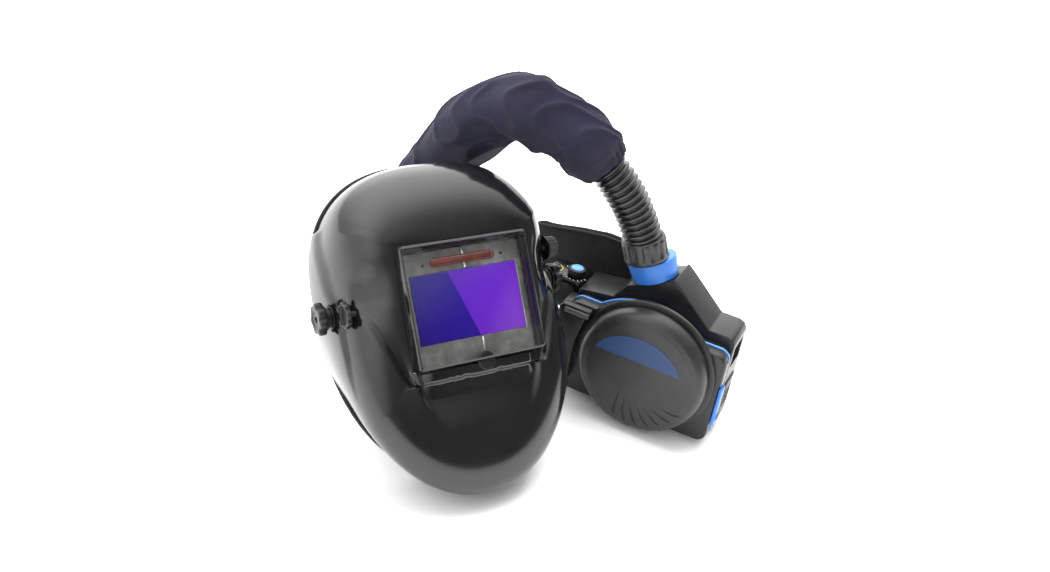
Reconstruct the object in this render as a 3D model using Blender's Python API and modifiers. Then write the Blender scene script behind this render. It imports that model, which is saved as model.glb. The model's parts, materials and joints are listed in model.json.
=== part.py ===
"""Welding helmet with a belt-worn air blower, standing ready on a floor.

Units are metres and +Z is up.  The helmet faces -Y and leans back on its chin.
The blower stands on its round filter cover at the wearer's left, the hose arches
from the blower to the back of the headgear, and the belt lies behind the blower.
"""

import math

import bmesh
import bpy
from mathutils import Matrix, Vector

# ---- driving dimensions -------------------------------------------------------

GAP = 0.0003                      # clearance kept between touching pieces
ORIGIN = Vector((-0.1270, -0.0957, -0.0002))   # moves the model so that its box is centred

WINDOW_CENTRE = Vector((0.0097, 0.0141, 0.1915))   # before the origin is moved
HELMET_LEAN = math.radians(-36.4)  # the window plane leans back by this much
HEADGEAR_LEAN = math.radians(-61.4)
PIVOT_BACK = 0.062                # pivot behind the window plane, in the helmet's frame
PIVOT_UP = 0.010                  # pivot above the window centre, in the helmet's frame

SHELL_HALF_WIDTH = 0.1224
SHELL_CENTRE_UP = 0.019           # height of the widest place above the window centre
SHELL_RISE = 0.1320               # widest place to the crown edge
SHELL_DROP = 0.191                # widest place to the chin edge
SHELL_THICKNESS = 0.003

CASSETTE_WIDTH = 0.133
CASSETTE_TALL = 0.114
CASSETTE_DEEP = 0.008
LCD_WIDTH = 0.1177
LCD_TALL = 0.068
FRAME_WIDTH = 0.139
FRAME_TALL = 0.121
FRAME_CENTRE_UP = 0.0035
FRAME_FRONT = -0.012
FRAME_BACK = 0.016

HEAD_HALF_WIDTH = 0.075
HEAD_HALF_LENGTH = 0.088
HEAD_CENTRE_BACK = 0.050          # head centre behind the pivot, in the headgear's frame
BAND_UP = 0.010                   # middle of the headband above the pivot
BAND_TALL = 0.020

BLOWER_CENTRE = Vector((0.2100, -0.0273, 0.0807))
BLOWER_TURN = math.radians(-56.3)
COVER_RADIUS = 0.0805
BODY_LEFT = -0.104
BODY_RIGHT = 0.085
BODY_TOP = 0.044                  # the shoulders each side of the raised arc
BODY_BOTTOM = -0.073
COVER_BACK = 0.030                # depth of the filter cover behind its front face
TRIM_FRONT = 0.0455
TRIM_BACK = 0.0480
BODY_BACK = 0.105
BODY_MIDDLE = 0.0800              # depth of the console, battery and fan

HOSE_RADIUS = 0.020
SLEEVE_RADIUS = 0.033
SLEEVE_WALL = 0.011
HOSE_ROUTE = (                    # from the blower's collar to the headgear's elbow
    (0.2430, 0.0400, 0.1930), (0.2350, 0.0470, 0.2200), (0.2220, 0.0580, 0.2490),
    (0.2050, 0.0710, 0.2760), (0.1850, 0.0880, 0.2990), (0.1630, 0.1060, 0.3190),
    (0.1380, 0.1290, 0.3290), (0.1150, 0.1540, 0.3300), (0.0990, 0.1800, 0.3100),
    (0.0860, 0.2070, 0.2710), (0.0720, 0.2320, 0.2270), (0.0540, 0.2480, 0.1920),
    (0.0370, 0.2540, 0.1660), (0.0240, 0.2540, 0.1430),
)

# ---- helpers ------------------------------------------------------------------


def clear_scene():
    for obj in list(bpy.data.objects):
        bpy.data.objects.remove(obj)


def new_collection(name):
    collection = bpy.data.collections.new(name)
    bpy.context.scene.collection.children.link(collection)
    return collection


def new_material(name, colour, roughness, metallic=0.0):
    material = bpy.data.materials.new(name)
    material.use_nodes = True
    shader = material.node_tree.nodes["Principled BSDF"]
    shader.inputs["Base Color"].default_value = (*colour, 1.0)
    shader.inputs["Roughness"].default_value = roughness
    shader.inputs["Metallic"].default_value = metallic
    return material


def new_empty(name, location, rotation, parent=None):
    empty = bpy.data.objects.new(name, None)
    PARTS.objects.link(empty)
    empty.parent = parent
    empty.location = location
    empty.rotation_euler = rotation
    return empty


def add_object(name, data, material, parent, location=(0, 0, 0), rotation=(0, 0, 0)):
    obj = bpy.data.objects.new(name, data)
    PARTS.objects.link(obj)
    data.materials.append(material)
    obj.parent = parent
    obj.location = location
    obj.rotation_euler = rotation
    return obj


def mesh_from(bm, name):
    mesh = bpy.data.meshes.new(name)
    bm.normal_update()
    bm.to_mesh(mesh)
    bm.free()
    return mesh


def add_bevel(obj, width, segments=2):
    bevel = obj.modifiers.new("Bevel", "BEVEL")
    bevel.width = width
    bevel.segments = segments
    bevel.limit_method = "ANGLE"


def box_mesh(name, size, taper=1.0):
    """A box, its front (-Y) face scaled by taper."""
    bm = bmesh.new()
    bmesh.ops.create_cube(bm, size=1.0)
    bmesh.ops.scale(bm, vec=size, verts=bm.verts)
    for vert in bm.verts:
        if vert.co.y < 0:
            vert.co.x *= taper
            vert.co.z *= taper
    return mesh_from(bm, name)


def box(name, material, parent, size, location, bevel=0.0, rotation=(0, 0, 0)):
    obj = add_object(name, box_mesh(name, size), material, parent, location, rotation)
    if bevel:
        add_bevel(obj, bevel)
    return obj


def cylinder_mesh(name, radius, depth, segments):
    bm = bmesh.new()
    bmesh.ops.create_cone(
        bm, cap_ends=True, segments=segments, radius1=radius, radius2=radius, depth=depth)
    mesh = mesh_from(bm, name)
    mesh.shade_smooth()
    mesh.set_sharp_from_angle(angle=math.radians(40))
    return mesh


ALONG_X = (0, math.radians(90), 0)
ALONG_Y = (math.radians(90), 0, 0)      # the local +Z axis points to -Y
ALONG_Z = (0, 0, 0)


def cylinder(name, material, parent, radius, depth, location, rotation=ALONG_Z, segments=28):
    mesh = cylinder_mesh(name, radius, depth, segments)
    return add_object(name, mesh, material, parent, location, rotation)


def turned(name, material, parent, profile, location, rotation=ALONG_Z, steps=28):
    """Turn a profile of (radius, height) pairs, listed down the outer side, about Z."""
    bm = bmesh.new()
    verts = [bm.verts.new((radius, 0.0, height)) for radius, height in profile]
    for first, second in zip(verts, verts[1:]):
        bm.edges.new((first, second))
    if profile[0][0] > 0 and profile[-1][0] > 0:
        bm.edges.new((verts[-1], verts[0]))
    obj = add_object(name, mesh_from(bm, name), material, parent, location, rotation)
    screw = obj.modifiers.new("Screw", "SCREW")
    screw.steps = steps
    screw.render_steps = steps
    screw.use_merge_vertices = True
    screw.merge_threshold = 0.00005
    screw.use_smooth_shade = True
    return obj


def ring(name, material, parent, inner, outer, length, location, rotation=ALONG_X, steps=28):
    half = length / 2
    profile = [(inner, half), (outer, half), (outer, -half), (inner, -half)]
    return turned(name, material, parent, profile, location, rotation, steps)


def lobed_outline(radius, depth, lobes, points_per_lobe=8):
    """A knob's outline: a circle whose radius swells once for each lobe."""
    count = lobes * points_per_lobe
    outline = []
    for index in range(count):
        angle = 2 * math.pi * index / count
        reach = radius - depth * (0.5 - 0.5 * math.cos(lobes * angle))
        outline.append((reach * math.cos(angle), reach * math.sin(angle)))
    return outline


def circle_outline(radius, count=24):
    return [(radius * math.cos(2 * math.pi * k / count), radius * math.sin(2 * math.pi * k / count))
            for k in range(count)]


def extruded(name, material, parent, outlines, thickness, location, rotation):
    """Extrude closed outlines (the first is the outside, the rest are holes) along Z."""
    curve = bpy.data.curves.new(name, "CURVE")
    curve.dimensions = "2D"
    curve.fill_mode = "BOTH"
    curve.extrude = thickness / 2
    for outline in outlines:
        spline = curve.splines.new("POLY")
        spline.points.add(len(outline) - 1)
        for point, (u, v) in zip(spline.points, outline):
            point.co = (u, v, 0.0, 1.0)
        spline.use_cyclic_u = True
    return add_object(name, curve, material, parent, location, rotation)


def as_mesh(obj):
    """Replace a curve object by a mesh object of its evaluated shape."""
    bpy.context.view_layer.update()
    evaluated = obj.evaluated_get(bpy.context.evaluated_depsgraph_get())
    mesh = bpy.data.meshes.new_from_object(evaluated)
    bm = bmesh.new()
    bm.from_mesh(mesh)
    bmesh.ops.remove_doubles(bm, verts=bm.verts, dist=0.00002)
    bmesh.ops.recalc_face_normals(bm, faces=bm.faces)
    bm.to_mesh(mesh)
    bm.free()
    name = obj.name
    place = obj.matrix_world.copy()
    bpy.data.objects.remove(obj)
    solid = bpy.data.objects.new(name, mesh)
    PARTS.objects.link(solid)
    solid.matrix_world = place
    return solid


def make_cutter(obj):
    obj.hide_render = True
    obj.display_type = "WIRE"
    PARTS.objects.unlink(obj)
    CUTTERS.objects.link(obj)


def cut(target, cutter, operation="DIFFERENCE"):
    boolean = target.modifiers.new("Boolean", "BOOLEAN")
    boolean.operation = operation
    boolean.solver = "EXACT"
    boolean.object = cutter
    if cutter.name not in CUTTERS.objects:
        make_cutter(cutter)


def tube(name, material, parent, points, radius, resolution=3, caps=True):
    curve = bpy.data.curves.new(name, "CURVE")
    curve.dimensions = "3D"
    curve.bevel_depth = radius
    curve.bevel_resolution = resolution
    curve.use_fill_caps = caps
    spline = curve.splines.new("POLY")
    spline.points.add(len(points) - 1)
    for point, place in zip(spline.points, points):
        point.co = (*place, 1.0)
    return add_object(name, curve, material, parent)


def strip(name, material, parent, path, tall, thickness, closed=False, location=(0, 0, 0)):
    """A flat band standing on edge along a path, thickened about its middle surface."""
    bm = bmesh.new()
    heights = tall if isinstance(tall, (list, tuple)) else [tall] * len(path)
    lower = [bm.verts.new(Vector(p) - Vector((0, 0, h / 2))) for p, h in zip(path, heights)]
    upper = [bm.verts.new(Vector(p) + Vector((0, 0, h / 2))) for p, h in zip(path, heights)]
    count = len(path)
    for index in range(count if closed else count - 1):
        after = (index + 1) % count
        bm.faces.new((lower[index], lower[after], upper[after], upper[index]))
    obj = add_object(name, mesh_from(bm, name), material, parent, location)
    solidify = obj.modifiers.new("Solidify", "SOLIDIFY")
    solidify.thickness = thickness
    solidify.offset = 0.0
    solidify.use_even_offset = True
    return obj


def smooth_route(points, count):
    """Points spaced along a Catmull-Rom curve through the route's own points."""
    known = [Vector(p) for p in points]
    known = [2 * known[0] - known[1], *known, 2 * known[-1] - known[-2]]
    spans = len(known) - 3
    route = []
    for index in range(count):
        position = spans * index / (count - 1)
        span = min(int(position), spans - 1)
        t = position - span
        a, b, c, d = known[span:span + 4]
        route.append(0.5 * (2 * b + (c - a) * t + (2 * a - 5 * b + 4 * c - d) * t ** 2
                            + (3 * b - a - 3 * c + d) * t ** 3))
    return route


# ---- helmet shell -------------------------------------------------------------


def lowness(z):
    """0 at the shell's widest place and above it, rising to 1 at the chin."""
    return max(0.0, (SHELL_CENTRE_UP - z) / SHELL_DROP)


def shell_edge(angle):
    """The shell's rear edge in the direction of an angle about its centre: (x, y, z)."""
    rise = math.sin(angle) >= 0
    height = SHELL_RISE if rise else SHELL_DROP
    power = 2.7 if rise else 2.16
    reach = (abs(math.cos(angle) / SHELL_HALF_WIDTH) ** power
             + abs(math.sin(angle) / height) ** power) ** (-1 / power)
    x = reach * math.cos(angle)
    z = SHELL_CENTRE_UP + reach * math.sin(angle)
    y = 0.0822 + 0.021 * (x / SHELL_HALF_WIDTH) ** 2 + 0.006 * lowness(z)
    return Vector((x, y, z))


def window_loop(across, up):
    """Points round the window opening, counter-clockwise seen from the front."""
    half = FRAME_WIDTH / 2 + 0.001
    top = FRAME_CENTRE_UP + FRAME_TALL / 2 + 0.001
    bottom = FRAME_CENTRE_UP - FRAME_TALL / 2 - 0.001
    corners = [(-half, bottom), (half, bottom), (half, top), (-half, top)]
    points = []
    for index, steps in enumerate((across, up, across, up)):
        start = corners[index]
        end = corners[(index + 1) % 4]
        for step in range(steps):
            t = step / steps
            x = start[0] + (end[0] - start[0]) * t
            z = start[1] + (end[1] - start[1]) * t
            depth = -0.009 * (z - bottom) / (top - bottom) + 0.006 * (x / half) ** 2
            points.append(Vector((x, depth, z)))
    return points


def shell_point(window, edge, t):
    """A point between the window opening (t = 0) and the rear edge (t = 1)."""
    angle = t * math.pi / 2
    lower = lowness(edge.z)
    upper = min(1.0, max(0.0, (edge.z - 0.045) / 0.060))
    power = 0.94 - 0.36 * lower - 0.15 * upper
    spread = math.sin(angle) ** power
    deep = 1 - abs(math.cos(angle)) ** power
    outward = Vector((edge.x - window.x, 0, edge.z - window.z)).normalized()
    bulge = (0.001 + 0.033 * lower) * math.sin(2 * angle)
    x = window.x + (edge.x - window.x) * spread + outward.x * bulge
    z = window.z + (edge.z - window.z) * spread + outward.z * bulge
    y = window.y + (edge.y - window.y) * deep
    return Vector((x, y, z))


def make_shell(material, parent):
    rows = 11
    bm = bmesh.new()
    rings = []
    loop = window_loop(12, 10)
    for row in range(rows + 1):
        points = []
        for window in loop:
            edge = shell_edge(math.atan2(window.z - SHELL_CENTRE_UP, window.x))
            points.append(bm.verts.new(shell_point(window, edge, row / rows)))
        rings.append(points)
    count = len(loop)
    for inner, outer in zip(rings, rings[1:]):
        for index in range(count):
            after = (index + 1) % count
            bm.faces.new((inner[index], outer[index], outer[after], inner[after]))
    shell = add_object("helmet_shell", mesh_from(bm, "helmet_shell"), material, parent)
    solidify = shell.modifiers.new("Solidify", "SOLIDIFY")
    solidify.thickness = SHELL_THICKNESS
    solidify.offset = -1.0
    for side in (-1, 1):
        hole = cylinder("pivot_hole_cutter", material, parent, 0.0045, 0.040,
                        (side * 0.118, PIVOT_BACK, PIVOT_UP), ALONG_X, 20)
        cut(shell, hole)
    for name, place in (("shade_hole_cutter", SHADE_KNOB), ("wheel_hole_cutter", TILT_WHEEL)):
        hole = cylinder(name, material, parent, 0.0038, 0.040,
                        (place[0], place[1], place[2]), ALONG_X, 16)
        cut(shell, hole)
    return shell


# ---- window, cassette and controls --------------------------------------------

SHADE_KNOB = (0.1136, 0.036, 0.043)
TILT_WHEEL = (-0.1118, 0.029, 0.009)


def plate(name, material, parent, width, tall, front, back, up=0.0, x=0.0, bevel=0.0):
    size = (width, back - front, tall)
    return box(name, material, parent, size, (x, (front + back) / 2, up), bevel)


def make_window(mats, parent):
    frame = plate("window_frame", mats["shell"], parent, FRAME_WIDTH, FRAME_TALL,
                  FRAME_FRONT, FRAME_BACK, FRAME_CENTRE_UP)
    recess = add_object("recess_cutter",
                        box_mesh("recess_cutter", (0.1295, 0.002 - FRAME_FRONT, 0.1115), 1.035),
                        mats["shell"], parent, (0, FRAME_FRONT / 2, 0.0))
    cut(frame, recess)
    cut(frame, plate("pocket_cutter", mats["shell"], parent, CASSETTE_WIDTH + 0.001,
                     CASSETTE_TALL + 0.001, 0.0, FRAME_BACK + 0.002))

    lens_back = 0.0015
    plate("outer_cover_lens", mats["lens"], parent, CASSETTE_WIDTH, CASSETTE_TALL, GAP, lens_back)
    body_front = lens_back + GAP
    body_back = body_front + CASSETTE_DEEP
    body = plate("cassette_body", mats["silver"], parent, CASSETTE_WIDTH, CASSETTE_TALL,
                 body_front, body_back)
    cut(body, plate("lcd_pocket_cutter", mats["lcd"], parent, LCD_WIDTH + 2 * GAP,
                    LCD_TALL + 2 * GAP, body_front - 0.001, body_front + 0.0015))
    plate("lcd_glass", mats["lcd"], parent, LCD_WIDTH, LCD_TALL, body_front, body_front + 0.0012)
    cut(body, plate("solar_pocket_cutter", mats["solar"], parent, 0.0700 + 2 * GAP,
                    0.0085 + 2 * GAP, body_front - 0.001, body_front + 0.0012, 0.0445))
    plate("solar_strip", mats["solar"], parent, 0.0700, 0.0085,
          body_front, body_front + 0.0009, 0.0445)

    retainer = plate("retaining_frame", mats["plastic"], parent, CASSETTE_WIDTH, CASSETTE_TALL,
                     body_back + GAP, FRAME_BACK - GAP)
    cut(retainer, plate("retainer_cutter", mats["plastic"], parent, 0.1210, 0.1020, 0.0, 0.030))

    back = body_back + GAP
    plate("inner_cover_lens", mats["lens"], parent, 0.1070, 0.0620, back, back + 0.0012, 0.012)
    for name, x in (("sensitivity_knob", -0.018), ("delay_knob", 0.018)):
        extruded(name, mats["plastic"], parent, [lobed_outline(0.0065, 0.0008, 8, 4)], 0.006,
                 (x, back + 0.003, -0.037), ALONG_Y)
    cylinder("test_button", mats["blue"], parent, 0.0040, 0.0045,
             (0.0, body_back + 0.0008, -0.037), ALONG_Y, 20)
    cut(body, cylinder("button_pocket_cutter", mats["silver"], parent, 0.0045, 0.006,
                       (0.0, body_back, -0.037), ALONG_Y, 20))
    for side, name in ((-1, "battery_cap_r"), (1, "battery_cap_l")):
        cap = cylinder(name, mats["plastic"], parent, 0.0115, 0.0026,
                       (side * 0.044, back + 0.0013, -0.037), ALONG_Y, 28)
        cut(cap, box(name + "_slot_cutter", mats["plastic"], parent, (0.014, 0.0024, 0.0016),
                     (side * 0.044, back + 0.0026, -0.037)))


def make_outside_controls(mats, parent):
    x, y, z = SHADE_KNOB
    knob = as_mesh(extruded("shade_knob", mats["plastic"], parent,
                            [lobed_outline(0.0115, 0.0007, 14, 4)], 0.010,
                            (x + 0.0085, y, z), ALONG_X))
    shaft = cylinder("shade_shaft_joiner", mats["plastic"], parent, 0.0030, 0.030,
                     (x - 0.0100, y, z), ALONG_X, 16)
    cut(knob, shaft, "UNION")
    box("shade_control_box", mats["plastic"], parent, (0.010, 0.022, 0.024),
        (x - 0.0325, y, z), 0.0012)
    x, y, z = TILT_WHEEL
    wheel = as_mesh(extruded("tilt_wheel", mats["plastic"], parent,
                             [lobed_outline(0.0135, 0.0014, 10, 6)], 0.0050,
                             (x - 0.0075, y, z), ALONG_X))
    shaft = cylinder("tilt_shaft_joiner", mats["plastic"], parent, 0.0030, 0.022,
                     (x + 0.0053, y, z), ALONG_X, 16)
    cut(wheel, shaft, "UNION")


# ---- headgear -----------------------------------------------------------------


def head_point(angle, offset=0.0, up=BAND_UP):
    """A point on the head's ellipse in the headgear's frame; angle 0 is the left side."""
    return (
        (HEAD_HALF_WIDTH + offset) * math.cos(angle),
        HEAD_CENTRE_BACK + (HEAD_HALF_LENGTH + offset) * math.sin(angle),
        up,
    )


def arc_angles(start, end, count):
    return [math.radians(start + (end - start) * index / (count - 1)) for index in range(count)]


def make_pivot(side, suffix, mats, parent):
    """The stack on one pivot, from the bolt head inside to the knob outside."""
    turn = (0, math.radians(90 * side), 0)
    bore = 0.0033
    turned("pivot_bolt_" + suffix, mats["steel"], parent,
           [(0.0, 0.0330), (0.0030, 0.0330), (0.0030, 0.0045), (0.0075, 0.0045), (0.0075, 0.0),
            (0.0, 0.0)],
           (side * 0.1030, 0, 0), turn, 20)
    stack = (
        ("inner_disc_", mats["plastic"], 0.0130, 0.1110, 0.1136),
        ("outer_collar_", mats["plastic"], 0.0125, 0.1226, 0.1303),
    )
    for name, material, radius, inner_x, outer_x in stack:
        ring(name + suffix, material, parent, bore, radius, outer_x - inner_x,
             (side * (inner_x + outer_x) / 2, 0, 0), turn)
    extruded("tension_knob_" + suffix, mats["plastic"], parent,
             [lobed_outline(0.0165, 0.0028, 6, 8), circle_outline(bore, 20)], 0.0080,
             (side * 0.1347, 0, 0), turn)
    arm_path = [
        (side * 0.1092, -0.014, 0.000), (side * 0.1092, 0.000, 0.000),
        (side * 0.1092, 0.012, 0.000), (side * 0.1050, 0.024, 0.003),
        (side * 0.0930, 0.036, 0.007), (side * 0.0810, 0.044, BAND_UP),
        (side * 0.0788, 0.058, BAND_UP),
    ]
    arm = strip("pivot_arm_" + suffix, mats["plastic"], parent, arm_path, 0.024, 0.0030)
    hole = cylinder("arm_hole_cutter_" + suffix, mats["plastic"], parent, bore, 0.010,
                    (side * 0.1092, 0, 0), ALONG_X, 20)
    cut(arm, hole)


def make_headband(mats, parent):
    front = [head_point(angle) for angle in arc_angles(40, -220, 34)]
    strip("headband_front", mats["plastic"], parent, front, BAND_TALL, 0.0020)
    brow = [head_point(angle, -0.0044) for angle in arc_angles(-38, -142, 16)]
    strip("sweatband", mats["cushion"], parent, brow, 0.030, 0.0060)
    rear = [head_point(angle, 0.0026) for angle in arc_angles(33, 147, 16)]
    strip("rear_cradle", mats["plastic"], parent, rear, 0.026, 0.0020)
    nape = [head_point(angle, -0.0026) for angle in arc_angles(62, 118, 10)]
    strip("rear_pad", mats["cushion"], parent, nape, 0.034, 0.0060)
    back = HEAD_CENTRE_BACK + HEAD_HALF_LENGTH + 0.0040
    box("ratchet_housing", mats["plastic"], parent, (0.050, 0.010, 0.030),
        (0, back + 0.0053, BAND_UP), 0.002)
    extruded("ratchet_knob", mats["plastic"], parent, [lobed_outline(0.0180, 0.0014, 16, 4)],
             0.014, (0, back + 0.0176, BAND_UP), ALONG_Y)


def crown_strap(name, material, parent, y):
    """A strap from ear to ear over the crown, lying flat on the head."""
    arc = arc_angles(2, 178, 21)
    verts = []
    bm = bmesh.new()
    for angle in arc:
        x = 0.0690 * math.cos(angle)
        z = BAND_UP + 0.088 * math.sin(angle)
        verts.append([bm.verts.new((x, y + shift, z)) for shift in (-0.007, 0.007)])
    for first, second in zip(verts, verts[1:]):
        bm.faces.new((first[0], first[1], second[1], second[0]))
    strap = add_object(name, mesh_from(bm, name), material, parent)
    solidify = strap.modifiers.new("Solidify", "SOLIDIFY")
    solidify.thickness = 0.0018
    solidify.offset = 0.0


def make_duct(mats, parent):
    """The flat duct over the crown, the box behind it and the elbow for the hose."""
    middle = 0.1040
    path = [(0.018, middle), (0.040, middle), (0.062, middle), (0.084, 0.0985),
            (0.100, 0.0890), (0.1140, 0.0770)]
    bm = bmesh.new()
    rows = [[bm.verts.new((x, y, z)) for x in (-0.027, 0.027)] for y, z in path]
    for first, second in zip(rows, rows[1:]):
        bm.faces.new((first[0], first[1], second[1], second[0]))
    duct = add_object("crown_duct", mesh_from(bm, "crown_duct"), mats["plastic"], parent)
    solidify = duct.modifiers.new("Solidify", "SOLIDIFY")
    solidify.thickness = 0.0080
    solidify.offset = 0.0
    box("duct_box", mats["plastic"], parent, (0.060, 0.036, 0.028), (0, 0.1370, 0.0715), 0.003)


def make_headgear(mats, parent):
    for side, suffix in ((-1, "r"), (1, "l")):
        make_pivot(side, suffix, mats, parent)
    make_headband(mats, parent)
    crown_strap("crown_strap_front", mats["plastic"], parent, 0.034)
    crown_strap("crown_strap_rear", mats["plastic"], parent, 0.054)
    make_duct(mats, parent)


# ---- hose ---------------------------------------------------------------------


def make_hose(mats, root):
    route = smooth_route(HOSE_ROUTE, 27)
    tube("air_hose", mats["hose"], root, route, HOSE_RADIUS, 3)
    cover = route[7:23]
    sleeve = as_mesh(tube("hose_sleeve", mats["cloth"], root, cover, SLEEVE_RADIUS, 3, False))
    solidify = sleeve.modifiers.new("Solidify", "SOLIDIFY")
    solidify.thickness = SLEEVE_WALL
    solidify.offset = -1.0
    sleeve.data.materials.clear()
    sleeve.data.materials.append(mats["cloth"])
    ends = ((route[0], route[1], "hose_cuff_blower", 0.010),
            (route[-1], route[-2], "hose_cuff_helmet", 0.004))
    for end, inner, name, inside in ends:
        along = (inner - end).normalized()
        turn = along.to_track_quat("Z", "Y").to_euler()
        ring(name, mats["rubber"], root, HOSE_RADIUS + 0.0012, HOSE_RADIUS + 0.0050, 0.026,
             end + along * inside, turn)
    elbow_end = route[-1] - (route[-2] - route[-1]).normalized() * 0.0020
    lead = (route[-1] - route[-2]).normalized()
    foot = Vector((WINDOW_CENTRE.x, 0.2135, 0.0865))
    turned_in = Vector((0.0, -math.sin(HEADGEAR_LEAN), math.cos(HEADGEAR_LEAN)))
    points = []
    for index in range(9):
        t = index / 8
        start_handle = elbow_end + lead * 0.030
        end_handle = foot + turned_in * 0.024
        points.append((1 - t) ** 3 * elbow_end + 3 * (1 - t) ** 2 * t * start_handle
                      + 3 * (1 - t) * t ** 2 * end_handle + t ** 3 * foot)
    tube("hose_elbow", mats["plastic"], root, points, HOSE_RADIUS - 0.0005, 4)


# ---- blower -------------------------------------------------------------------


def blower_outline(grow=0.0):
    """The housing's front view: a round-cornered block with a bulge for the cover."""
    corner = 0.012
    corners = ((BODY_RIGHT, BODY_TOP, 0), (BODY_LEFT, BODY_TOP, 90),
               (BODY_LEFT, BODY_BOTTOM, 180), (BODY_RIGHT, BODY_BOTTOM, 270))
    points = []
    for x, z, start in corners:
        centre_x = x - math.copysign(corner, x)
        centre_z = z - math.copysign(corner, z)
        for step in range(5):
            angle = math.radians(start + step * 22.5)
            points.append((centre_x + (corner + grow) * math.cos(angle),
                           centre_z + (corner + grow) * math.sin(angle)))
        if start == 0:
            radius = 0.0900 + grow
            reach = math.acos((BODY_TOP + grow + 0.024) / radius)
            for step in range(9):
                angle = math.pi / 2 - reach + 2 * reach * step / 8
                points.append((radius * math.cos(angle) - 0.012, radius * math.sin(angle) - 0.024))
    return points


def make_cover(mats, parent):
    radius = COVER_RADIUS
    profile = [(0.0, 0.0295), (0.040, 0.0292), (0.062, 0.0280), (0.0720, 0.0260),
               (0.0770, 0.0232), (radius - 0.0007, 0.0190), (radius, 0.0150), (radius, 0.0030),
               (radius - 0.0020, 0.0), (radius - 0.0060, 0.0), (radius - 0.0060, 0.0150),
               (0.066, 0.0235), (0.0, 0.0260)]
    turned("filter_cover", mats["blower"], parent, profile, (0, COVER_BACK - GAP, 0), ALONG_Y, 48)
    label = [(0.0575 * math.cos(a) - 0.0045, 0.0490 * math.sin(a)) for a in arc_angles(22, 158, 17)]
    extruded("cover_label", mats["label"], parent, [label], 0.0004, (0, -0.0001, 0), ALONG_Y)


def make_blower(mats, parent):
    front_middle = (COVER_BACK + TRIM_FRONT - GAP) / 2
    front = as_mesh(extruded("front_housing", mats["blower"], parent, [blower_outline()],
                             TRIM_FRONT - GAP - COVER_BACK, (0, front_middle, 0), ALONG_Y))
    front.data.materials.append(mats["blower"])
    cut(front, cylinder("filter_pocket_cutter", mats["blower"], parent, 0.0500, 0.040,
                        (-0.006, COVER_BACK + 0.0300, -0.008), ALONG_Y, 36))
    turned("filter_canister", mats["filter"], parent,
           [(0.0, 0.0085), (0.060, 0.0085), (0.060, 0.0), (0.0, 0.0)],
           (0, COVER_BACK - GAP, 0), ALONG_Y, 36)
    trim = extruded("parting_trim", mats["light_blue"], parent,
                    [blower_outline(0.0008), circle_outline(0.0530, 36)],
                    TRIM_BACK - TRIM_FRONT - GAP, (0, (TRIM_FRONT + TRIM_BACK) / 2, 0), ALONG_Y)
    make_rear_housing(mats, parent)
    return trim


PORT_SEAT = Vector((-0.024, 0.0760, 0.084))  # middle of the hose port's seat
PORT_LEAN = math.radians(-25)


def make_rear_housing(mats, parent):
    depth = BODY_BACK - TRIM_BACK - GAP
    middle = (BODY_BACK + TRIM_BACK + GAP) / 2
    outline = [
        (BODY_LEFT, -0.060), (BODY_LEFT + 0.012, BODY_BOTTOM), (0.072, BODY_BOTTOM),
        (BODY_RIGHT, -0.060), (BODY_RIGHT, 0.046), (0.081, 0.052), (0.075, 0.0545),
        (0.0530, 0.0545), (0.0100, 0.0930), (0.0020, 0.0990), (0.0014, 0.0958), (-0.0494, 0.0721),
        (-0.062, 0.052), (BODY_LEFT, 0.046),
    ]
    body = as_mesh(extruded("rear_housing", mats["blower"], parent, [outline], depth,
                            (0, middle, 0), ALONG_Y))
    body.data.materials.append(mats["blower"])
    cut(body, cylinder("motor_bay_cutter", mats["blower"], parent, 0.0480, 0.076,
                       (-0.006, TRIM_BACK, -0.008), ALONG_Y, 36))
    cut(body, box("battery_bay_cutter", mats["blower"], parent, (0.056, 0.034, 0.056),
                  (0.0795, BODY_MIDDLE, -0.036)))
    cut(body, box("side_opening_cutter", mats["blower"], parent, (0.036, 0.032, 0.028),
                  (0.0870, BODY_MIDDLE, 0.026)))

    console = box("control_console", mats["panel"], parent, (0.050, 0.0440, 0.040),
                  (BODY_LEFT - 0.0255, BODY_MIDDLE, 0.030), 0.004)
    cut(console, cylinder("key_pocket_cutter", mats["panel"], parent, 0.0060, 0.006,
                          (-0.143, BODY_MIDDLE - 0.005, 0.050), ALONG_Z, 24))
    cylinder("speed_knob", mats["plastic"], parent, 0.0105, 0.0100,
             (-0.117, BODY_MIDDLE - 0.005, 0.0554), ALONG_Z, 32)
    cylinder("power_button", mats["panel"], parent, 0.0055, 0.0042,
             (-0.143, BODY_MIDDLE - 0.005, 0.0506), ALONG_Z, 24)

    turned("impeller", mats["steel"], parent,
           [(0.0, 0.016), (0.012, 0.016), (0.040, 0.006), (0.040, 0.0), (0.0, 0.0)],
           (-0.006, BODY_MIDDLE, -0.008), ALONG_Y, 32)

    box("battery_pack", mats["plastic"], parent, (0.034, 0.0325, 0.0545),
        (0.0698, BODY_MIDDLE, -0.036), 0.002)
    box("battery_latch", mats["blue"], parent, (0.0040, 0.0140, 0.0500),
        (BODY_RIGHT + 0.0025, 0.0370, -0.0220), 0.001)

    lean = Vector((math.sin(PORT_LEAN), 0, math.cos(PORT_LEAN)))
    turn = (0, PORT_LEAN, 0)
    port = [(0.0200, 0.0230), (0.0265, 0.0230), (0.0240, 0.0004), (0.0200, 0.0004)]
    turned("swivel_collar", mats["blue"], parent, port, PORT_SEAT, turn, 36)
    port_bore = cylinder("port_bore_cutter", mats["blower"], parent, 0.0170, 0.080,
                         PORT_SEAT - lean * 0.030, turn, 28)
    cut(body, port_bore)
    box("belt_plate", mats["plastic"], parent, (0.080, 0.0040, 0.060),
        (-0.030, BODY_BACK + 0.0023, -0.005), 0.001)


# ---- belt ---------------------------------------------------------------------


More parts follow.
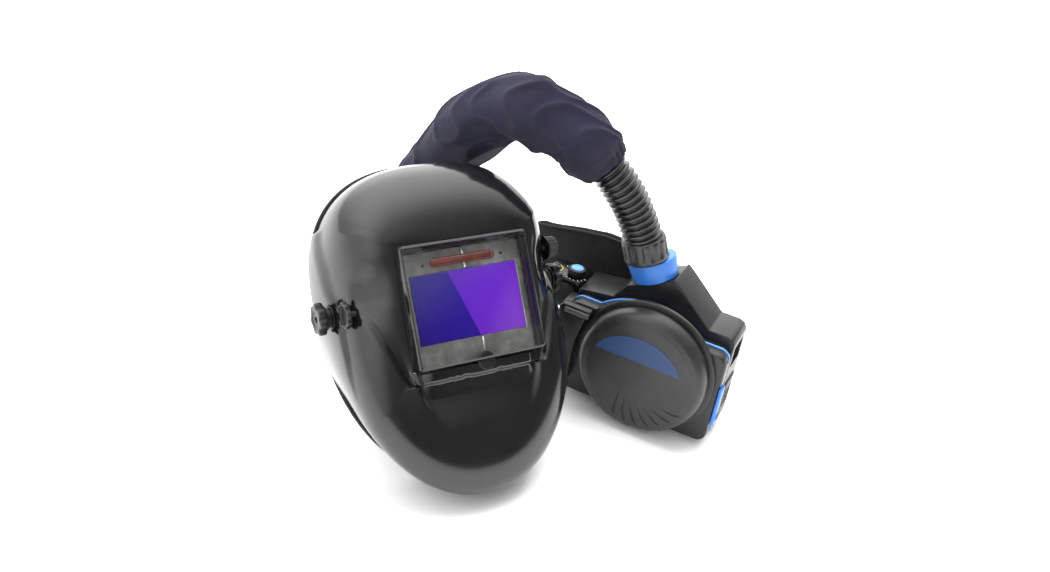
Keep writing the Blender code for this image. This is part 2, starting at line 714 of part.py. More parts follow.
def make_belt(mats, parent):
    """A flattened loop behind the blower, in the blower's frame."""
    path = [(0.006, 0.1190, 0.030), (-0.030, 0.1190, 0.032), (-0.070, 0.1200, 0.033),
            (-0.105, 0.1240, 0.033), (-0.140, 0.1310, 0.030), (-0.180, 0.1420, 0.024),
            (-0.215, 0.1550, 0.018)]
    tall = [0.096, 0.114, 0.122, 0.120, 0.108, 0.092, 0.080]
    pad = strip("belt_pad", mats["cushion"], parent, path, tall, 0.0120)
    add_bevel(pad, 0.003)
    low = 0.002
    far = [(-0.2180, 0.1660, low), (-0.2320, 0.1780, low), (-0.2360, 0.1960, low),
           (-0.2240, 0.2110, low), (-0.2000, 0.2180, low), (-0.1500, 0.2200, low),
           (-0.1300, 0.2200, low)]
    strip("belt_webbing_left", mats["webbing"], parent, far, 0.044, 0.0025)
    near = [(-0.0930, 0.2268, low), (-0.0700, 0.2268, low), (-0.0440, 0.2266, low),
            (-0.0280, 0.2220, low), (-0.0100, 0.2130, low), (0.0060, 0.1980, low),
            (0.0120, 0.1720, low), (0.0100, 0.1320, low)]
    strip("belt_webbing_right", mats["webbing"], parent, near, 0.044, 0.0025)
    box("buckle_female", mats["plastic"], parent, (0.028, 0.012, 0.056), (-0.1154, 0.2200, low), 0.002)
    box("buckle_male", mats["plastic"], parent, (0.024, 0.010, 0.050), (-0.0888, 0.2200, low), 0.002)


# ---- assembly -----------------------------------------------------------------


def make_materials():
    return {
        "shell": new_material("gloss_black_shell", (0.012, 0.012, 0.013), 0.16),
        "plastic": new_material("black_nylon", (0.020, 0.020, 0.021), 0.45),
        "blower": new_material("charcoal_blower", (0.035, 0.035, 0.036), 0.38),
        "panel": new_material("gloss_panel", (0.010, 0.010, 0.011), 0.12),
        "silver": new_material("silver_cassette", (0.62, 0.62, 0.61), 0.28, 0.9),
        "lens": new_material("clear_lens", (0.85, 0.86, 0.88), 0.04),
        "lcd": new_material("violet_lcd", (0.07, 0.02, 0.30), 0.06),
        "solar": new_material("solar_strip", (0.16, 0.045, 0.030), 0.25),
        "rubber": new_material("black_rubber", (0.018, 0.018, 0.018), 0.65),
        "hose": new_material("hose_rubber", (0.030, 0.030, 0.030), 0.42),
        "cloth": new_material("navy_cloth", (0.028, 0.024, 0.075), 0.85),
        "cushion": new_material("black_padding", (0.012, 0.011, 0.011), 0.90),
        "webbing": new_material("black_webbing", (0.014, 0.014, 0.014), 0.80),
        "steel": new_material("zinc_steel", (0.45, 0.45, 0.46), 0.35, 1.0),
        "blue": new_material("blue_plastic", (0.035, 0.180, 0.640), 0.35),
        "light_blue": new_material("light_blue_trim", (0.130, 0.430, 0.950), 0.40),
        "label": new_material("dark_blue_label", (0.004, 0.045, 0.140), 0.45),
        "filter": new_material("white_filter", (0.70, 0.69, 0.66), 0.85),
    }


def build():
    mats = make_materials()
    root = new_empty("whole_product", ORIGIN, (0, 0, 0))
    helmet = new_empty("helmet_frame", WINDOW_CENTRE, (HELMET_LEAN, 0, 0), root)
    lean = Matrix.Rotation(HELMET_LEAN, 3, "X")
    pivot = lean @ Vector((0, PIVOT_BACK, PIVOT_UP)) + WINDOW_CENTRE
    headgear = new_empty("headgear_frame", pivot, (HEADGEAR_LEAN, 0, 0), root)
    blower = new_empty("blower_frame", BLOWER_CENTRE, (0, 0, BLOWER_TURN), root)
    make_shell(mats["shell"], helmet)
    make_window(mats, helmet)
    make_outside_controls(mats, helmet)
    make_headgear(mats, headgear)
    make_hose(mats, root)
    make_cover(mats, blower)
    make_blower(mats, blower)
    make_belt(mats, blower)


clear_scene()
PARTS = new_collection("welding_helmet")
CUTTERS = new_collection("cutters")
build()
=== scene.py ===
"""The visual model of the welding helmet set: shell, headgear, hose, blower and belt."""
import json
import math

import bmesh
import bpy
import numpy as np
from mathutils import Matrix, Vector, noise
from mathutils.bvhtree import BVHTree


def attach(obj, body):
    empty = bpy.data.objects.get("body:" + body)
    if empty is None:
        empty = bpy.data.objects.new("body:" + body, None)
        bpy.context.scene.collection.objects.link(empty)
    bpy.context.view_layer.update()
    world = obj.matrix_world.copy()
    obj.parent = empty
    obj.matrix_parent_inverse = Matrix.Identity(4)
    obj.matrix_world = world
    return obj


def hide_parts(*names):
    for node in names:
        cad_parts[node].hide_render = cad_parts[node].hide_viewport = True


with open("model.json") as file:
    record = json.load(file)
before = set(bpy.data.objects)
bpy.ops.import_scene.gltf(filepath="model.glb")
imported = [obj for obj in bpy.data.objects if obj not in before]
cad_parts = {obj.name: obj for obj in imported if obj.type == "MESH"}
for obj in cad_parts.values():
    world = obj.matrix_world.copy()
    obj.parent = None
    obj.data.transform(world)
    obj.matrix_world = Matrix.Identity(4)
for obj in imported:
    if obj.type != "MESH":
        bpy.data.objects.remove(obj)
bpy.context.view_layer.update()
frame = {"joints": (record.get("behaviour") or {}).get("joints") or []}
JOINTS = {joint["name"]: joint for joint in frame["joints"]}

# ---- driving dimensions, in metres, as in the CAD ------------------------------

ORIGIN = Vector((-0.127, -0.0957, -0.0002))
PIVOT = Vector(JOINTS["helmet_flip"]["pos_m"])
HELMET_LEAN = math.radians(-36.4)
HEADGEAR_LEAN = math.radians(-61.4)
PIVOT_BACK = 0.062
PIVOT_UP = 0.01
BLOWER_TURN = math.radians(-56.3)
COVER_SEAT = 0.0297               # the filter cap joint behind the cover's front face

SHELL_HALF_WIDTH = 0.1224
SHELL_CENTRE_UP = 0.019
SHELL_RISE = 0.132
SHELL_DROP = 0.191
SHELL_THICKNESS = 0.003
FRAME_HALF = 0.0695
FRAME_LOW = -0.057
FRAME_HIGH = 0.064
FRAME_BACK = 0.016
ROW_CROWDING = 1.7                # rows crowd towards the window, where the shell turns fastest
SILL_HIGH = -0.06
SILL_LOW = -0.091
SILL_HALF = 0.066
SILL_LIFT = 0.007
CASSETTE_WIDTH = 0.133
CASSETTE_TALL = 0.114
LCD_SIZE = (0.1177, 0.068)
SHADE_KNOB = (0.1136, 0.036, 0.043)
TILT_WHEEL = (-0.1118, 0.029, 0.009)

HEAD_HALF_WIDTH = 0.075
HEAD_HALF_LENGTH = 0.088
HEAD_CENTRE_BACK = 0.05
BAND_UP = 0.01
CROWN_HALF = 0.069                # half the width and the height of the crown straps' arches
CROWN_RISE = 0.088

COVER_RADIUS = 0.0805
BODY_LEFT = -0.104
BODY_RIGHT = 0.085
BODY_TOP = 0.044
BODY_BOTTOM = -0.073
COVER_BACK = 0.03
TRIM_FRONT = 0.0455
TRIM_BACK = 0.048
BODY_BACK = 0.105
BODY_MIDDLE = 0.08
SHOULDER_OUT = 0.0075             # how far the left shoulder stands out of the housing
FAN_CENTRE_X = -0.006
FAN_CENTRE_Z = -0.008
PORT_LEAN = math.radians(-25)
PORT_AXIS = Vector((math.sin(PORT_LEAN), 0, math.cos(PORT_LEAN)))
TOWER_FOOT = Vector((-0.024, 0.076, 0.084))

WEBBING_TALL = 0.044
WEBBING_THICK = 0.0023
BELT_MIDDLE = 0.002
BUCKLE_BACK = 0.22
OUT_OF_PAD = Vector((0, 1, 0))

HOSE_RADIUS = 0.02
RIB_PITCH = 0.0078
CUFF_RADIUS = HOSE_RADIUS + 0.005
CUFF_LONG = 0.026
BOOT_RADIUS = 0.0194
SLEEVE_START = 7 / 26             # shares of the hose's route
SLEEVE_FINISH = 22 / 26
HOSE_ROUTE = (                    # from the blower's collar to the headgear's elbow
    (0.243, 0.04, 0.193), (0.235, 0.047, 0.22), (0.222, 0.058, 0.249),
    (0.205, 0.071, 0.276), (0.185, 0.088, 0.299), (0.163, 0.106, 0.319),
    (0.138, 0.129, 0.329), (0.115, 0.154, 0.33), (0.099, 0.18, 0.31),
    (0.086, 0.207, 0.271), (0.072, 0.232, 0.227), (0.054, 0.248, 0.192),
    (0.037, 0.254, 0.166), (0.024, 0.254, 0.143),
)

HELMET = (Matrix.Translation(PIVOT) @ Matrix.Rotation(HELMET_LEAN, 4, "X") @ Matrix.Translation((0,
    -PIVOT_BACK, -PIVOT_UP)))
HEADGEAR = Matrix.Translation(PIVOT) @ Matrix.Rotation(HEADGEAR_LEAN, 4, "X")
BLOWER = (Matrix.Translation(JOINTS["filter_cap_twist"]["pos_m"]) @ Matrix.Rotation(BLOWER_TURN, 4, "Z")
    @ Matrix.Translation((0, -COVER_SEAT, 0)))
WORLD = Matrix.Identity(4)

FLOOR_REACH = 60.0
FLOOR_LEVEL = -0.0006             # just under the set, so that nothing lies in the floor's plane
CAMERA_PLACE = Vector((-0.594, -0.8675, 0.7747))
CAMERA_RIGHT = Vector((0.8614, -0.4887, 0.1384))
CAMERA_AHEAD = Vector((0.4838, 0.7061, -0.5171))
CAMERA_LENS = 37.71
CAMERA_SENSOR = 36.0
LIGHT_PLACE = Vector((0.25, 0.25, 1.75))
LIGHT_AIM = Vector((0, 0, 0.16))
LIGHT_POWER = 42.0
LIGHT_LOBES = (                   # towards, where it starts and is full, how strong
    ((-0.95, 0.05, 0.25), 0.25, 1.05, 1.7), ((0.3, 0.62, 0.72), 0.3, 1.05, 3.0),
    ((-0.3, -0.05, 0.95), 0.3, 1.0, 1.0),
)
ROOM_LIGHT = 0.22

# ---- mesh helpers --------------------------------------------------------------


def smooth(low, high, value):
    t = np.clip((np.asarray(value, float) - low) / (high - low), 0.0, 1.0)
    return t * t * (3 - 2 * t)


def piece(name, mesh, material, place, body, node=None, slot=None, local=False):
    """An object from a mesh in a local frame, riding on a body and shown for a CAD node.

    The slot is not used; local keeps its own axes.
    """
    obj = bpy.data.objects.new(name, mesh)
    bpy.context.scene.collection.objects.link(obj)
    if local:
        obj.matrix_world = place
    else:
        mesh.transform(place)
    mesh.materials.append(material)
    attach(obj, body)
    if node:
        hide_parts(node)
    slot or material.name.split(".")[0]
    return obj


def finish_mesh(bm, name, angle=35):
    bmesh.ops.recalc_face_normals(bm, faces=bm.faces)
    mesh = bpy.data.meshes.new(name)
    bm.to_mesh(mesh)
    bm.free()
    mesh.shade_smooth()
    if angle:
        mesh.set_sharp_from_angle(angle=math.radians(angle))
    return mesh


def grid_mesh(name, points, wrap_rows=False, wrap_columns=False, caps=False, angle=35):
    """A quad mesh through points[row][column]."""
    bm = bmesh.new()
    grid = [[bm.verts.new(point) for point in row] for row in points]
    rows = len(grid)
    columns = len(grid[0])
    for row in range(rows if wrap_rows else rows - 1):
        for column in range(columns if wrap_columns else columns - 1):
            a = grid[row][column]
            b = grid[row][(column + 1) % columns]
            c = grid[(row + 1) % rows][(column + 1) % columns]
            d = grid[(row + 1) % rows][column]
            corners = []
            for vert in (a, b, c, d):
                if vert not in corners:
                    corners.append(vert)
            bm.faces.new(corners)
    if caps:
        bm.faces.new(list(reversed(grid[0])))
        bm.faces.new(grid[-1])
    return finish_mesh(bm, name, angle)


def modifier(obj, kind, **values):
    item = obj.modifiers.new(kind.title(), kind)
    for key, value in values.items():
        setattr(item, key, value)
    return item


def thicken(obj, thickness, offset=0.0):
    modifier(obj, "SOLIDIFY", thickness=thickness, offset=offset)
    return obj


def apply_modifiers(obj):
    depsgraph = bpy.context.evaluated_depsgraph_get()
    mesh = bpy.data.meshes.new_from_object(obj.evaluated_get(depsgraph))
    obj.modifiers.clear()
    obj.data = mesh
    return obj


def box_mesh(name, size, centre=(0, 0, 0), bevel=0.0, segments=3, turn=None):
    bm = bmesh.new()
    bmesh.ops.create_cube(bm, size=1.0)
    bmesh.ops.scale(bm, vec=size, verts=bm.verts)
    if bevel:
        bmesh.ops.bevel(bm, geom=bm.edges[:], offset=bevel, segments=segments, profile=0.5, affect="EDGES")
    if turn:
        bmesh.ops.transform(bm, matrix=turn, verts=bm.verts)
    bmesh.ops.translate(bm, vec=centre, verts=bm.verts)
    return finish_mesh(bm, name, 50)


def join_meshes(name, meshes):
    bm = bmesh.new()
    for mesh in meshes:
        bm.from_mesh(mesh)
        bpy.data.meshes.remove(mesh)
    joined = bpy.data.meshes.new(name)
    bm.to_mesh(joined)
    bm.free()
    joined.set_sharp_from_angle(angle=math.radians(35))
    return joined


def basis(axis, centre=(0, 0, 0)):
    """A matrix that takes +Z to an axis and the origin to a centre."""
    turn = Vector(axis).normalized().to_track_quat("Z", "Y").to_matrix().to_4x4()
    return Matrix.Translation(centre) @ turn


def lathe_mesh(name, profile, segments=64, axis=(0, 0, 1), centre=(0, 0, 0), angle=35, wave=None):
    """A profile of (radius, along) turned about an axis; wave changes the radius by angle."""
    place = basis(axis, centre)
    rows = []
    for radius, along in profile:
        row = []
        for step in range(segments):
            turn = 2 * math.pi * step / segments
            r = radius if wave is None else wave(radius, along, turn)
            row.append(place @ Vector((r * math.cos(turn), r * math.sin(turn), along)))
        rows.append(row)
    closed = profile[0] == profile[-1]
    if closed:
        rows = rows[:-1]
    bm = bmesh.new()
    grid = [[bm.verts.new(point) for point in row] for row in rows]
    count = len(grid)
    for index in range(count if closed else count - 1):
        first = grid[index]
        second = grid[(index + 1) % count]
        for column in range(segments):
            after = (column + 1) % segments
            bm.faces.new((first[column], first[after], second[after], second[column]))
    if not closed:
        for row in (grid[0], grid[-1]):
            radius = (row[0].co - row[segments // 2].co).length / 2
            if radius > 1e-5:
                bm.faces.new(row)
        bmesh.ops.remove_doubles(bm, verts=bm.verts, dist=1e-6)
    return finish_mesh(bm, name, angle)


def tube_rows(path, radius, segments, up=Vector((0, 0, 1))):
    """Rings of points round a path; radius is a number or a function of (share, angle)."""
    rows = []
    side = None
    count = len(path)
    for index, point in enumerate(path):
        before = path[max(index - 1, 0)]
        after = path[min(index + 1, count - 1)]
        along = (Vector(after) - Vector(before)).normalized()
        if side is None:
            side = along.cross(up)
            if side.length < 1e-3:
                side = along.orthogonal()
        side = (side - along * side.dot(along)).normalized()
        other = along.cross(side)
        row = []
        for step in range(segments):
            turn = 2 * math.pi * step / segments
            r = radius(index / (count - 1), turn) if callable(radius) else radius
            row.append(Vector(point) + side * (r * math.cos(turn)) + other * (r * math.sin(turn)))
        rows.append(row)
    return rows


def catmull(known, count):
    """A smooth route of count points through the known ones."""
    points = [Vector(point) for point in known]
    points = [2 * points[0] - points[1]] + points + [2 * points[-1] - points[-2]]
    spans = len(points) - 3
    route = []
    for index in range(count):
        position = index * spans / (count - 1)
        span = min(int(position), spans - 1)
        t = position - span
        a, b, c, d = points[span:span + 4]
        route.append(0.5 * (2 * b + (c - a) * t + (2 * a - 5 * b + 4 * c - d) * t ** 2
            + (3 * b - a - 3 * c + d) * t ** 3))
    return route


def band_mesh(name, path, width_axis, tall, thick, bevel=0.0005):
    """A flat band with rounded edges along a path; tall may be a list along it."""
    count = len(path)
    up = Vector(width_axis).normalized()
    rows = []
    for index, point in enumerate(path):
        before = Vector(path[max(index - 1, 0)])
        after = Vector(path[min(index + 1, count - 1)])
        along = (after - before).normalized()
        out = along.cross(up).normalized()
        across = out.cross(along).normalized() if abs(along.dot(up)) > 0.02 else up
        half = (tall[index] if isinstance(tall, (list, tuple)) else tall) / 2
        t = thick / 2
        b = min(bevel, t * 0.9)
        outline = [(-half + b, -t), (half - b, -t), (half, -t + b), (half, t - b), (half - b, t),
            (-half + b, t), (-half, t - b), (-half, -t + b)]
        rows.append([Vector(point) + across * z + out * y for z, y in outline])
    return grid_mesh(name, rows, wrap_columns=True, caps=True, angle=50)


def lobed_mesh(name, radius, depth, lobes, height, axis, centre, segments=144, dome=0.0012,
               bore=0.0, hollow=0.0):
    """A knob with rounded lobes round its rim and softened faces."""
    def wave(r, along, turn):
        share = max(0.0, (r - radius * 0.62) / (radius * 0.38))
        swell = 0.5 + 0.5 * math.cos(lobes * turn)
        return r - depth * share * (1 - swell) ** 1.6
    half = height / 2
    profile = [(0.0 if not bore else bore, half - hollow)]
    if hollow:
        profile += [(radius * 0.5, half - hollow), (radius * 0.56, half - hollow * 0.4)]
    profile += [(radius * 0.62, half), (radius - dome * 1.6, half), (radius - dome * 0.5,
        half - dome * 0.4), (radius, half - dome * 1.3), (radius, -half + dome), (radius - dome * 0.6,
        -half)]
    profile.append((0.0 if not bore else bore, -half))
    if bore:
        profile.append(profile[0])
    return lathe_mesh(name, profile, segments, axis, centre, 40, wave)


# ---- materials -----------------------------------------------------------------


class Nodes:
    """A short way to write a node tree."""

    def __init__(self, name):
        self.material = bpy.data.materials.new(name)
        self.material.use_nodes = True
        self.tree = self.material.node_tree
        self.shader = self.tree.nodes["Principled BSDF"]
        self.coords = self.tree.nodes.new("ShaderNodeTexCoord")

    def node(self, kind, **values):
        item = self.tree.nodes.new(kind)
        for key, value in values.items():
            if key.startswith("in_"):
                item.inputs[key[3:].replace("_", " ")].default_value = value
            else:
                setattr(item, key, value)
        return item

    def link(self, source, target):
        self.tree.links.new(source, target)

    def noise(self, scale, detail=4.0, rough=0.55, stretch=None, vector=None):
        item = self.node("ShaderNodeTexNoise", in_Scale=scale, in_Detail=detail, in_Roughness=rough)
        source = vector or self.coords.outputs["Object"]
        if stretch:
            mapping = self.node("ShaderNodeMapping")
            mapping.inputs["Scale"].default_value = stretch
            self.link(source, mapping.inputs["Vector"])
            source = mapping.outputs["Vector"]
        self.link(source, item.inputs["Vector"])
        return item.outputs["Fac"]

    def ramp(self, source, *stops):
        item = self.node("ShaderNodeValToRGB")
        elements = item.color_ramp.elements
        while len(elements) < len(stops):
            elements.new(0.5)
        for element, (position, colour) in zip(elements, stops):
            element.position = position
            element.color = colour if len(colour) == 4 else (*colour, 1.0)
        self.link(source, item.inputs["Fac"])
        return item.outputs["Color"]

    def math(self, operation, a, b=None):
        item = self.node("ShaderNodeMath", operation=operation)
        for index, value in enumerate((a, b)):
            if value is None:
                continue
            if isinstance(value, (int, float)):
                item.inputs[index].default_value = value
            else:
                self.link(value, item.inputs[index])
        return item.outputs["Value"]

    def split(self, vector=None):
        item = self.node("ShaderNodeSeparateXYZ")
        self.link(vector or self.coords.outputs["Object"], item.inputs["Vector"])
        return item.outputs["X"], item.outputs["Y"], item.outputs["Z"]

    def mix(self, factor, a, b):
        item = self.node("ShaderNodeMix", data_type="RGBA")
        for socket, value in ((item.inputs["Factor"], factor), (item.inputs["A"], a), (item.inputs["B"], b)):
            if isinstance(value, (int, float)):
                socket.default_value = value
            elif isinstance(value, tuple):
                socket.default_value = value if len(value) == 4 else (*value, 1.0)
            else:
                self.link(value, socket)
        return item.outputs["Result"]

    def bump(self, height, strength, distance, normal=None):
        item = self.node("ShaderNodeBump", in_Strength=strength, in_Distance=distance)
        self.link(height, item.inputs["Height"])
        if normal is not None:
            self.link(normal, item.inputs["Normal"])
        return item.outputs["Normal"]

    def set(self, **values):
        for key, value in values.items():
            socket = self.shader.inputs[key.replace("_", " ")]
            if isinstance(value, (int, float)):
                socket.default_value = value
            elif isinstance(value, tuple):
                socket.default_value = value if len(value) == 4 else (*value, 1.0)
            else:
                self.link(value, socket)
        return self.material


def plastic(name, colour, roughness, grain=2200.0, grain_depth=0.00004, coat=0.0, spread=0.35,
            smudge=0.1, specular=0.5):
    """Moulded plastic: fine grain, slow tone changes, rubbed and dusty patches."""
    n = Nodes(name)
    slow = n.noise(22.0, 5.0, 0.6)
    fine = n.noise(grain, 2.0, 0.5)
    dark = tuple(c * (1 - spread) for c in colour)
    light = tuple(min(1.0, c * (1 + spread) + 0.002) for c in colour)
    base = n.ramp(slow, (0.3, dark), (0.72, light))
    scuffs = n.noise(260.0, 6.0, 0.75, (1.0, 1.0, 0.25))
    marks = n.ramp(scuffs, (0.6, (0, 0, 0)), (0.74, (1, 1, 1)))
    base = n.mix(n.math("MULTIPLY", marks, 0.1), base, tuple(min(1.0, c * 2.4 + 0.02) for c in colour))
    rough = n.math("ADD", n.math("MULTIPLY", slow, smudge * 2), roughness - smudge)
    rough = n.math("ADD", rough, n.math("MULTIPLY", marks, 0.08))
    normal = n.bump(fine, 0.5, grain_depth)
    return n.set(Base_Color=base, Roughness=rough, Normal=normal, Coat_Weight=coat, Coat_Roughness=0.05,
        Specular_IOR_Level=specular)


def cloth(name, colour, weave=1500.0, depth=0.0003, roughness=0.85, sheen=0.35, fuzz=0.25, wrinkle=0.0):
    """Woven cloth: two crossed thread waves, fuzz, and slow fading along the folds."""
    n = Nodes(name)
    x, y, z = n.split()
    warp = n.math("SINE", n.math("MULTIPLY", n.math("ADD", x, n.math("MULTIPLY", y, 0.6)), weave))
    weft = n.math("SINE", n.math("MULTIPLY", n.math("ADD", z, n.math("MULTIPLY", y, -0.45)), weave))
    threads = n.math("MULTIPLY", warp, weft)
    slow = n.noise(14.0, 6.0, 0.6)
    fibre = n.noise(900.0, 3.0, 0.7)
    dark = tuple(c * 0.62 for c in colour)
    light = tuple(min(1.0, c * 1.55 + 0.004) for c in colour)
    base = n.ramp(slow, (0.28, dark), (0.75, light))
    lint = n.ramp(fibre, (0.55, (0, 0, 0)), (0.85, (1, 1, 1)))
    base = n.mix(n.math("MULTIPLY", lint, fuzz), base, tuple(min(1.0, c * 2.2 + 0.02) for c in colour))
    height = n.math("ADD", n.math("MULTIPLY", threads, 0.5), n.math("MULTIPLY", fibre, 0.6))
    normal = n.bump(height, 0.6, depth)
    if wrinkle:
        folds = n.noise(38.0, 4.0, 0.55, (1.0, 0.55, 1.0))
        normal = n.bump(folds, 0.7, wrinkle, normal)
    return n.set(Base_Color=base, Roughness=roughness, Normal=normal, Sheen_Weight=sheen,
        Sheen_Roughness=0.45, Sheen_Tint=colour)


def ribbed_rubber(name, colour, roughness):
    n = Nodes(name)
    slow = n.noise(60.0, 5.0, 0.65)
    specks = n.noise(700.0, 3.0, 0.7)
    base = n.ramp(slow, (0.3, tuple(c * 0.6 for c in colour)), (0.75, tuple(c * 1.7 for c in colour)))
    rough = n.math("ADD", n.math("MULTIPLY", slow, 0.22), roughness - 0.08)
    normal = n.bump(specks, 0.5, 0.00012)
    return n.set(Base_Color=base, Roughness=rough, Normal=normal, Coat_Weight=0.25, Coat_Roughness=0.18)


def brushed_metal(name, colour, roughness, stretch=(0.03, 1.0, 1.0)):
    n = Nodes(name)
    lines = n.noise(1600.0, 4.0, 0.6, stretch)
    slow = n.noise(30.0, 4.0, 0.5)
    base = n.ramp(lines, (0.3, tuple(c * 0.82 for c in colour)), (0.7, tuple(min(1, c * 1.12)
        for c in colour)))
    rough = n.math("ADD", n.math("MULTIPLY", slow, 0.12), roughness - 0.06)
    normal = n.bump(lines, 0.35, 0.00003)
    return n.set(Base_Color=base, Roughness=rough, Normal=normal, Metallic=1.0)


def clear_plastic(name, tint, roughness=0.02):
    n = Nodes(name)
    haze = n.noise(90.0, 5.0, 0.7)
    scratches = n.noise(2400.0, 2.0, 0.6, (0.02, 1.0, 1.0))
    rough = n.math("ADD", n.math("MULTIPLY", haze, 0.03), roughness)
    normal = n.bump(scratches, 0.15, 0.00001)
    return n.set(Base_Color=tint, Roughness=rough, Normal=normal, Alpha=0.06)


def painted_reflection_glass(name):
    """The dark filter: navy on its left and a painted reflection in violet on its right, either side of a
    slanting line, with a faint painted glow.
    """
    n = Nodes(name)
    x, y, z = n.split()
    # The slanting line parts the navy glass from the painted reflection; fade grades both sides across the
    # glass as part of that painted reflection.
    line = n.math("SUBTRACT", n.math("ADD", x, n.math("MULTIPLY", z, 0.36)), -0.006)
    side = n.math("MULTIPLY", line, 900.0)
    side = n.math("MINIMUM", n.math("MAXIMUM", side, 0.0), 1.0)
    fade = n.math("ADD", n.math("MULTIPLY", x, 7.0), n.math("MULTIPLY", z, -4.5))
    violet = n.ramp(n.math("ADD", fade, 0.25), (0.0, (0.05, 0.004, 0.26)), (0.45, (0.08, 0.008, 0.34)),
        (0.95, (0.19, 0.055, 0.45)))
    navy = n.ramp(n.math("ADD", fade, 0.8), (0.0, (0.004, 0.0, 0.09)), (0.9, (0.01, 0.0, 0.17)))
    haze = n.noise(60.0, 4.0, 0.6)
    base = n.mix(side, navy, violet)
    rough = n.math("ADD", n.math("MULTIPLY", haze, 0.05), 0.05)
    # The emission is a painted glow: the filter glass is no lamp.
    return n.set(Base_Color=base, Roughness=rough, Emission_Color=base, Emission_Strength=0.3,
        Coat_Weight=0.5, Coat_Roughness=0.03)


def silver_face(name):
    """The filter cassette's plated face: soft cloudy reflections and fine brushing."""
    n = Nodes(name)
    cloud = n.noise(34.0, 5.0, 0.6)
    lines = n.noise(1800.0, 3.0, 0.6, (0.04, 1.0, 1.0))
    base = n.ramp(cloud, (0.3, (0.16, 0.158, 0.155)), (0.5, (0.26, 0.257, 0.25)),
        (0.72, (0.46, 0.455, 0.44)))
    rough = n.math("ADD", n.math("MULTIPLY", cloud, 0.18), 0.22)
    normal = n.bump(lines, 0.3, 0.00002)
    normal = n.bump(cloud, 0.3, 0.0006, normal)
    return n.set(Base_Color=base, Roughness=rough, Normal=normal, Metallic=0.75)


def solar_cell(name):
    n = Nodes(name)
    x, y, z = n.split()
    cells = n.math("ABSOLUTE", n.math("SINE", n.math("MULTIPLY", x, 260.0)))
    lines = n.math("LESS_THAN", cells, 0.1)
    slow = n.noise(40.0, 3.0, 0.5)
    red = n.ramp(slow, (0.3, (0.085, 0.022, 0.016)), (0.7, (0.17, 0.04, 0.026)))
    base = n.mix(n.math("MULTIPLY", lines, 0.5), red, (0.03, 0.015, 0.014))
    return n.set(Base_Color=base, Roughness=0.22, Coat_Weight=0.4, Coat_Roughness=0.05)


GLOSS = plastic("gloss_black", (0.0045, 0.0045, 0.005), 0.15, 1500.0, 0.000006, 0.15, 0.15, 0.02)
NYLON = plastic("black_nylon", (0.0045, 0.0045, 0.0048), 0.42, specular=0.35)
GREY_NYLON = plastic("grey_nylon", (0.018, 0.018, 0.019), 0.42, specular=0.4)
CHARCOAL = plastic("charcoal_abs", (0.0095, 0.0095, 0.0098), 0.36, 1600.0, 0.00006, specular=0.4)
FRONT_CHARCOAL = plastic("charcoal_cover", (0.015, 0.015, 0.0154), 0.34, 1600.0, 0.00005, specular=0.4)
BAND_GREY = plastic("band_grey", (0.095, 0.092, 0.096), 0.38)
PANEL = plastic("gloss_panel", (0.0035, 0.0035, 0.0035), 0.16, 1500.0, 0.00001, 0.0, 0.15, 0.03,
    specular=0.3)
SILVER = silver_face("silver_cassette")
# Bright metal for the painted reflection strips on the cassette face.
REFLECTION_STRIP_METAL = brushed_metal("painted_reflection_strip", (0.8, 0.8, 0.79), 0.22)
LENS = clear_plastic("clear_lens", (0.01, 0.011, 0.012))
# The filter glass material carries a painted reflection and a painted glow.
LCD = painted_reflection_glass("violet_lcd")
SOLAR = solar_cell("solar_cells")
SENSOR = plastic("sensor_dark", (0.015, 0.012, 0.02), 0.08, coat=0.6)
RUBBER = ribbed_rubber("black_rubber", (0.0055, 0.0055, 0.0055), 0.45)
HOSE = ribbed_rubber("hose_rubber", (0.0075, 0.0075, 0.0072), 0.28)
NAVY = cloth("navy_cloth", (0.0052, 0.0043, 0.018), 2600.0, 0.00022, 0.9, 0.06, 0.08, 0.0035)
PADDING = cloth("black_padding", (0.0016, 0.0016, 0.0018), 3200.0, 0.00022, 0.95, 0.02, 0.05, 0.0015)
WEBBING = cloth("black_webbing", (0.004, 0.004, 0.0045), 1900.0, 0.0004, 0.75, 0.04, 0.08)
FOAM = cloth("grey_foam", (0.03, 0.03, 0.032), 2400.0, 0.0003, 0.95, 0.2, 0.3)
STEEL = brushed_metal("zinc_steel", (0.55, 0.55, 0.53), 0.32, (1.0, 1.0, 1.0))
BLUE = plastic("blue_plastic", (0.03, 0.165, 0.56), 0.4, 1600.0, 0.00004, spread=0.1)
LIGHT_BLUE = plastic("light_blue_trim", (0.1, 0.29, 0.78), 0.42, spread=0.08)
LABEL = plastic("dark_blue_label", (0.0008, 0.026, 0.098), 0.42, 900.0, 0.00001, spread=0.1)
WHITE = plastic("white_print", (0.62, 0.62, 0.6), 0.5, spread=0.05)
YELLOW = plastic("yellow_print", (0.6, 0.5, 0.06), 0.5, spread=0.08)
FILTER = plastic("white_filter", (0.55, 0.55, 0.52), 0.8, 700.0, 0.0003, spread=0.08)

# ---- helmet shell --------------------------------------------------------------


def lowness(z):
    """0 at the shell's widest place and above it, rising to 1 at the chin."""
    return max(0.0, (SHELL_CENTRE_UP - z) / SHELL_DROP)


def shell_edge(angle):
    """The shell's rear edge in the direction of an angle about its centre."""
    rise = math.sin(angle) >= 0
    height = SHELL_RISE if rise else SHELL_DROP
    power = 2.7 if rise else 2.16
    reach = (abs(math.cos(angle) / SHELL_HALF_WIDTH) ** power
        + abs(math.sin(angle) / height) ** power) ** (-1 / power)
    x = reach * math.cos(angle)
    z = SHELL_CENTRE_UP + reach * math.sin(angle)
    y = 0.0822 + 0.021 * (x / SHELL_HALF_WIDTH) ** 2 + 0.006 * lowness(z)
    return Vector((x, y, z))


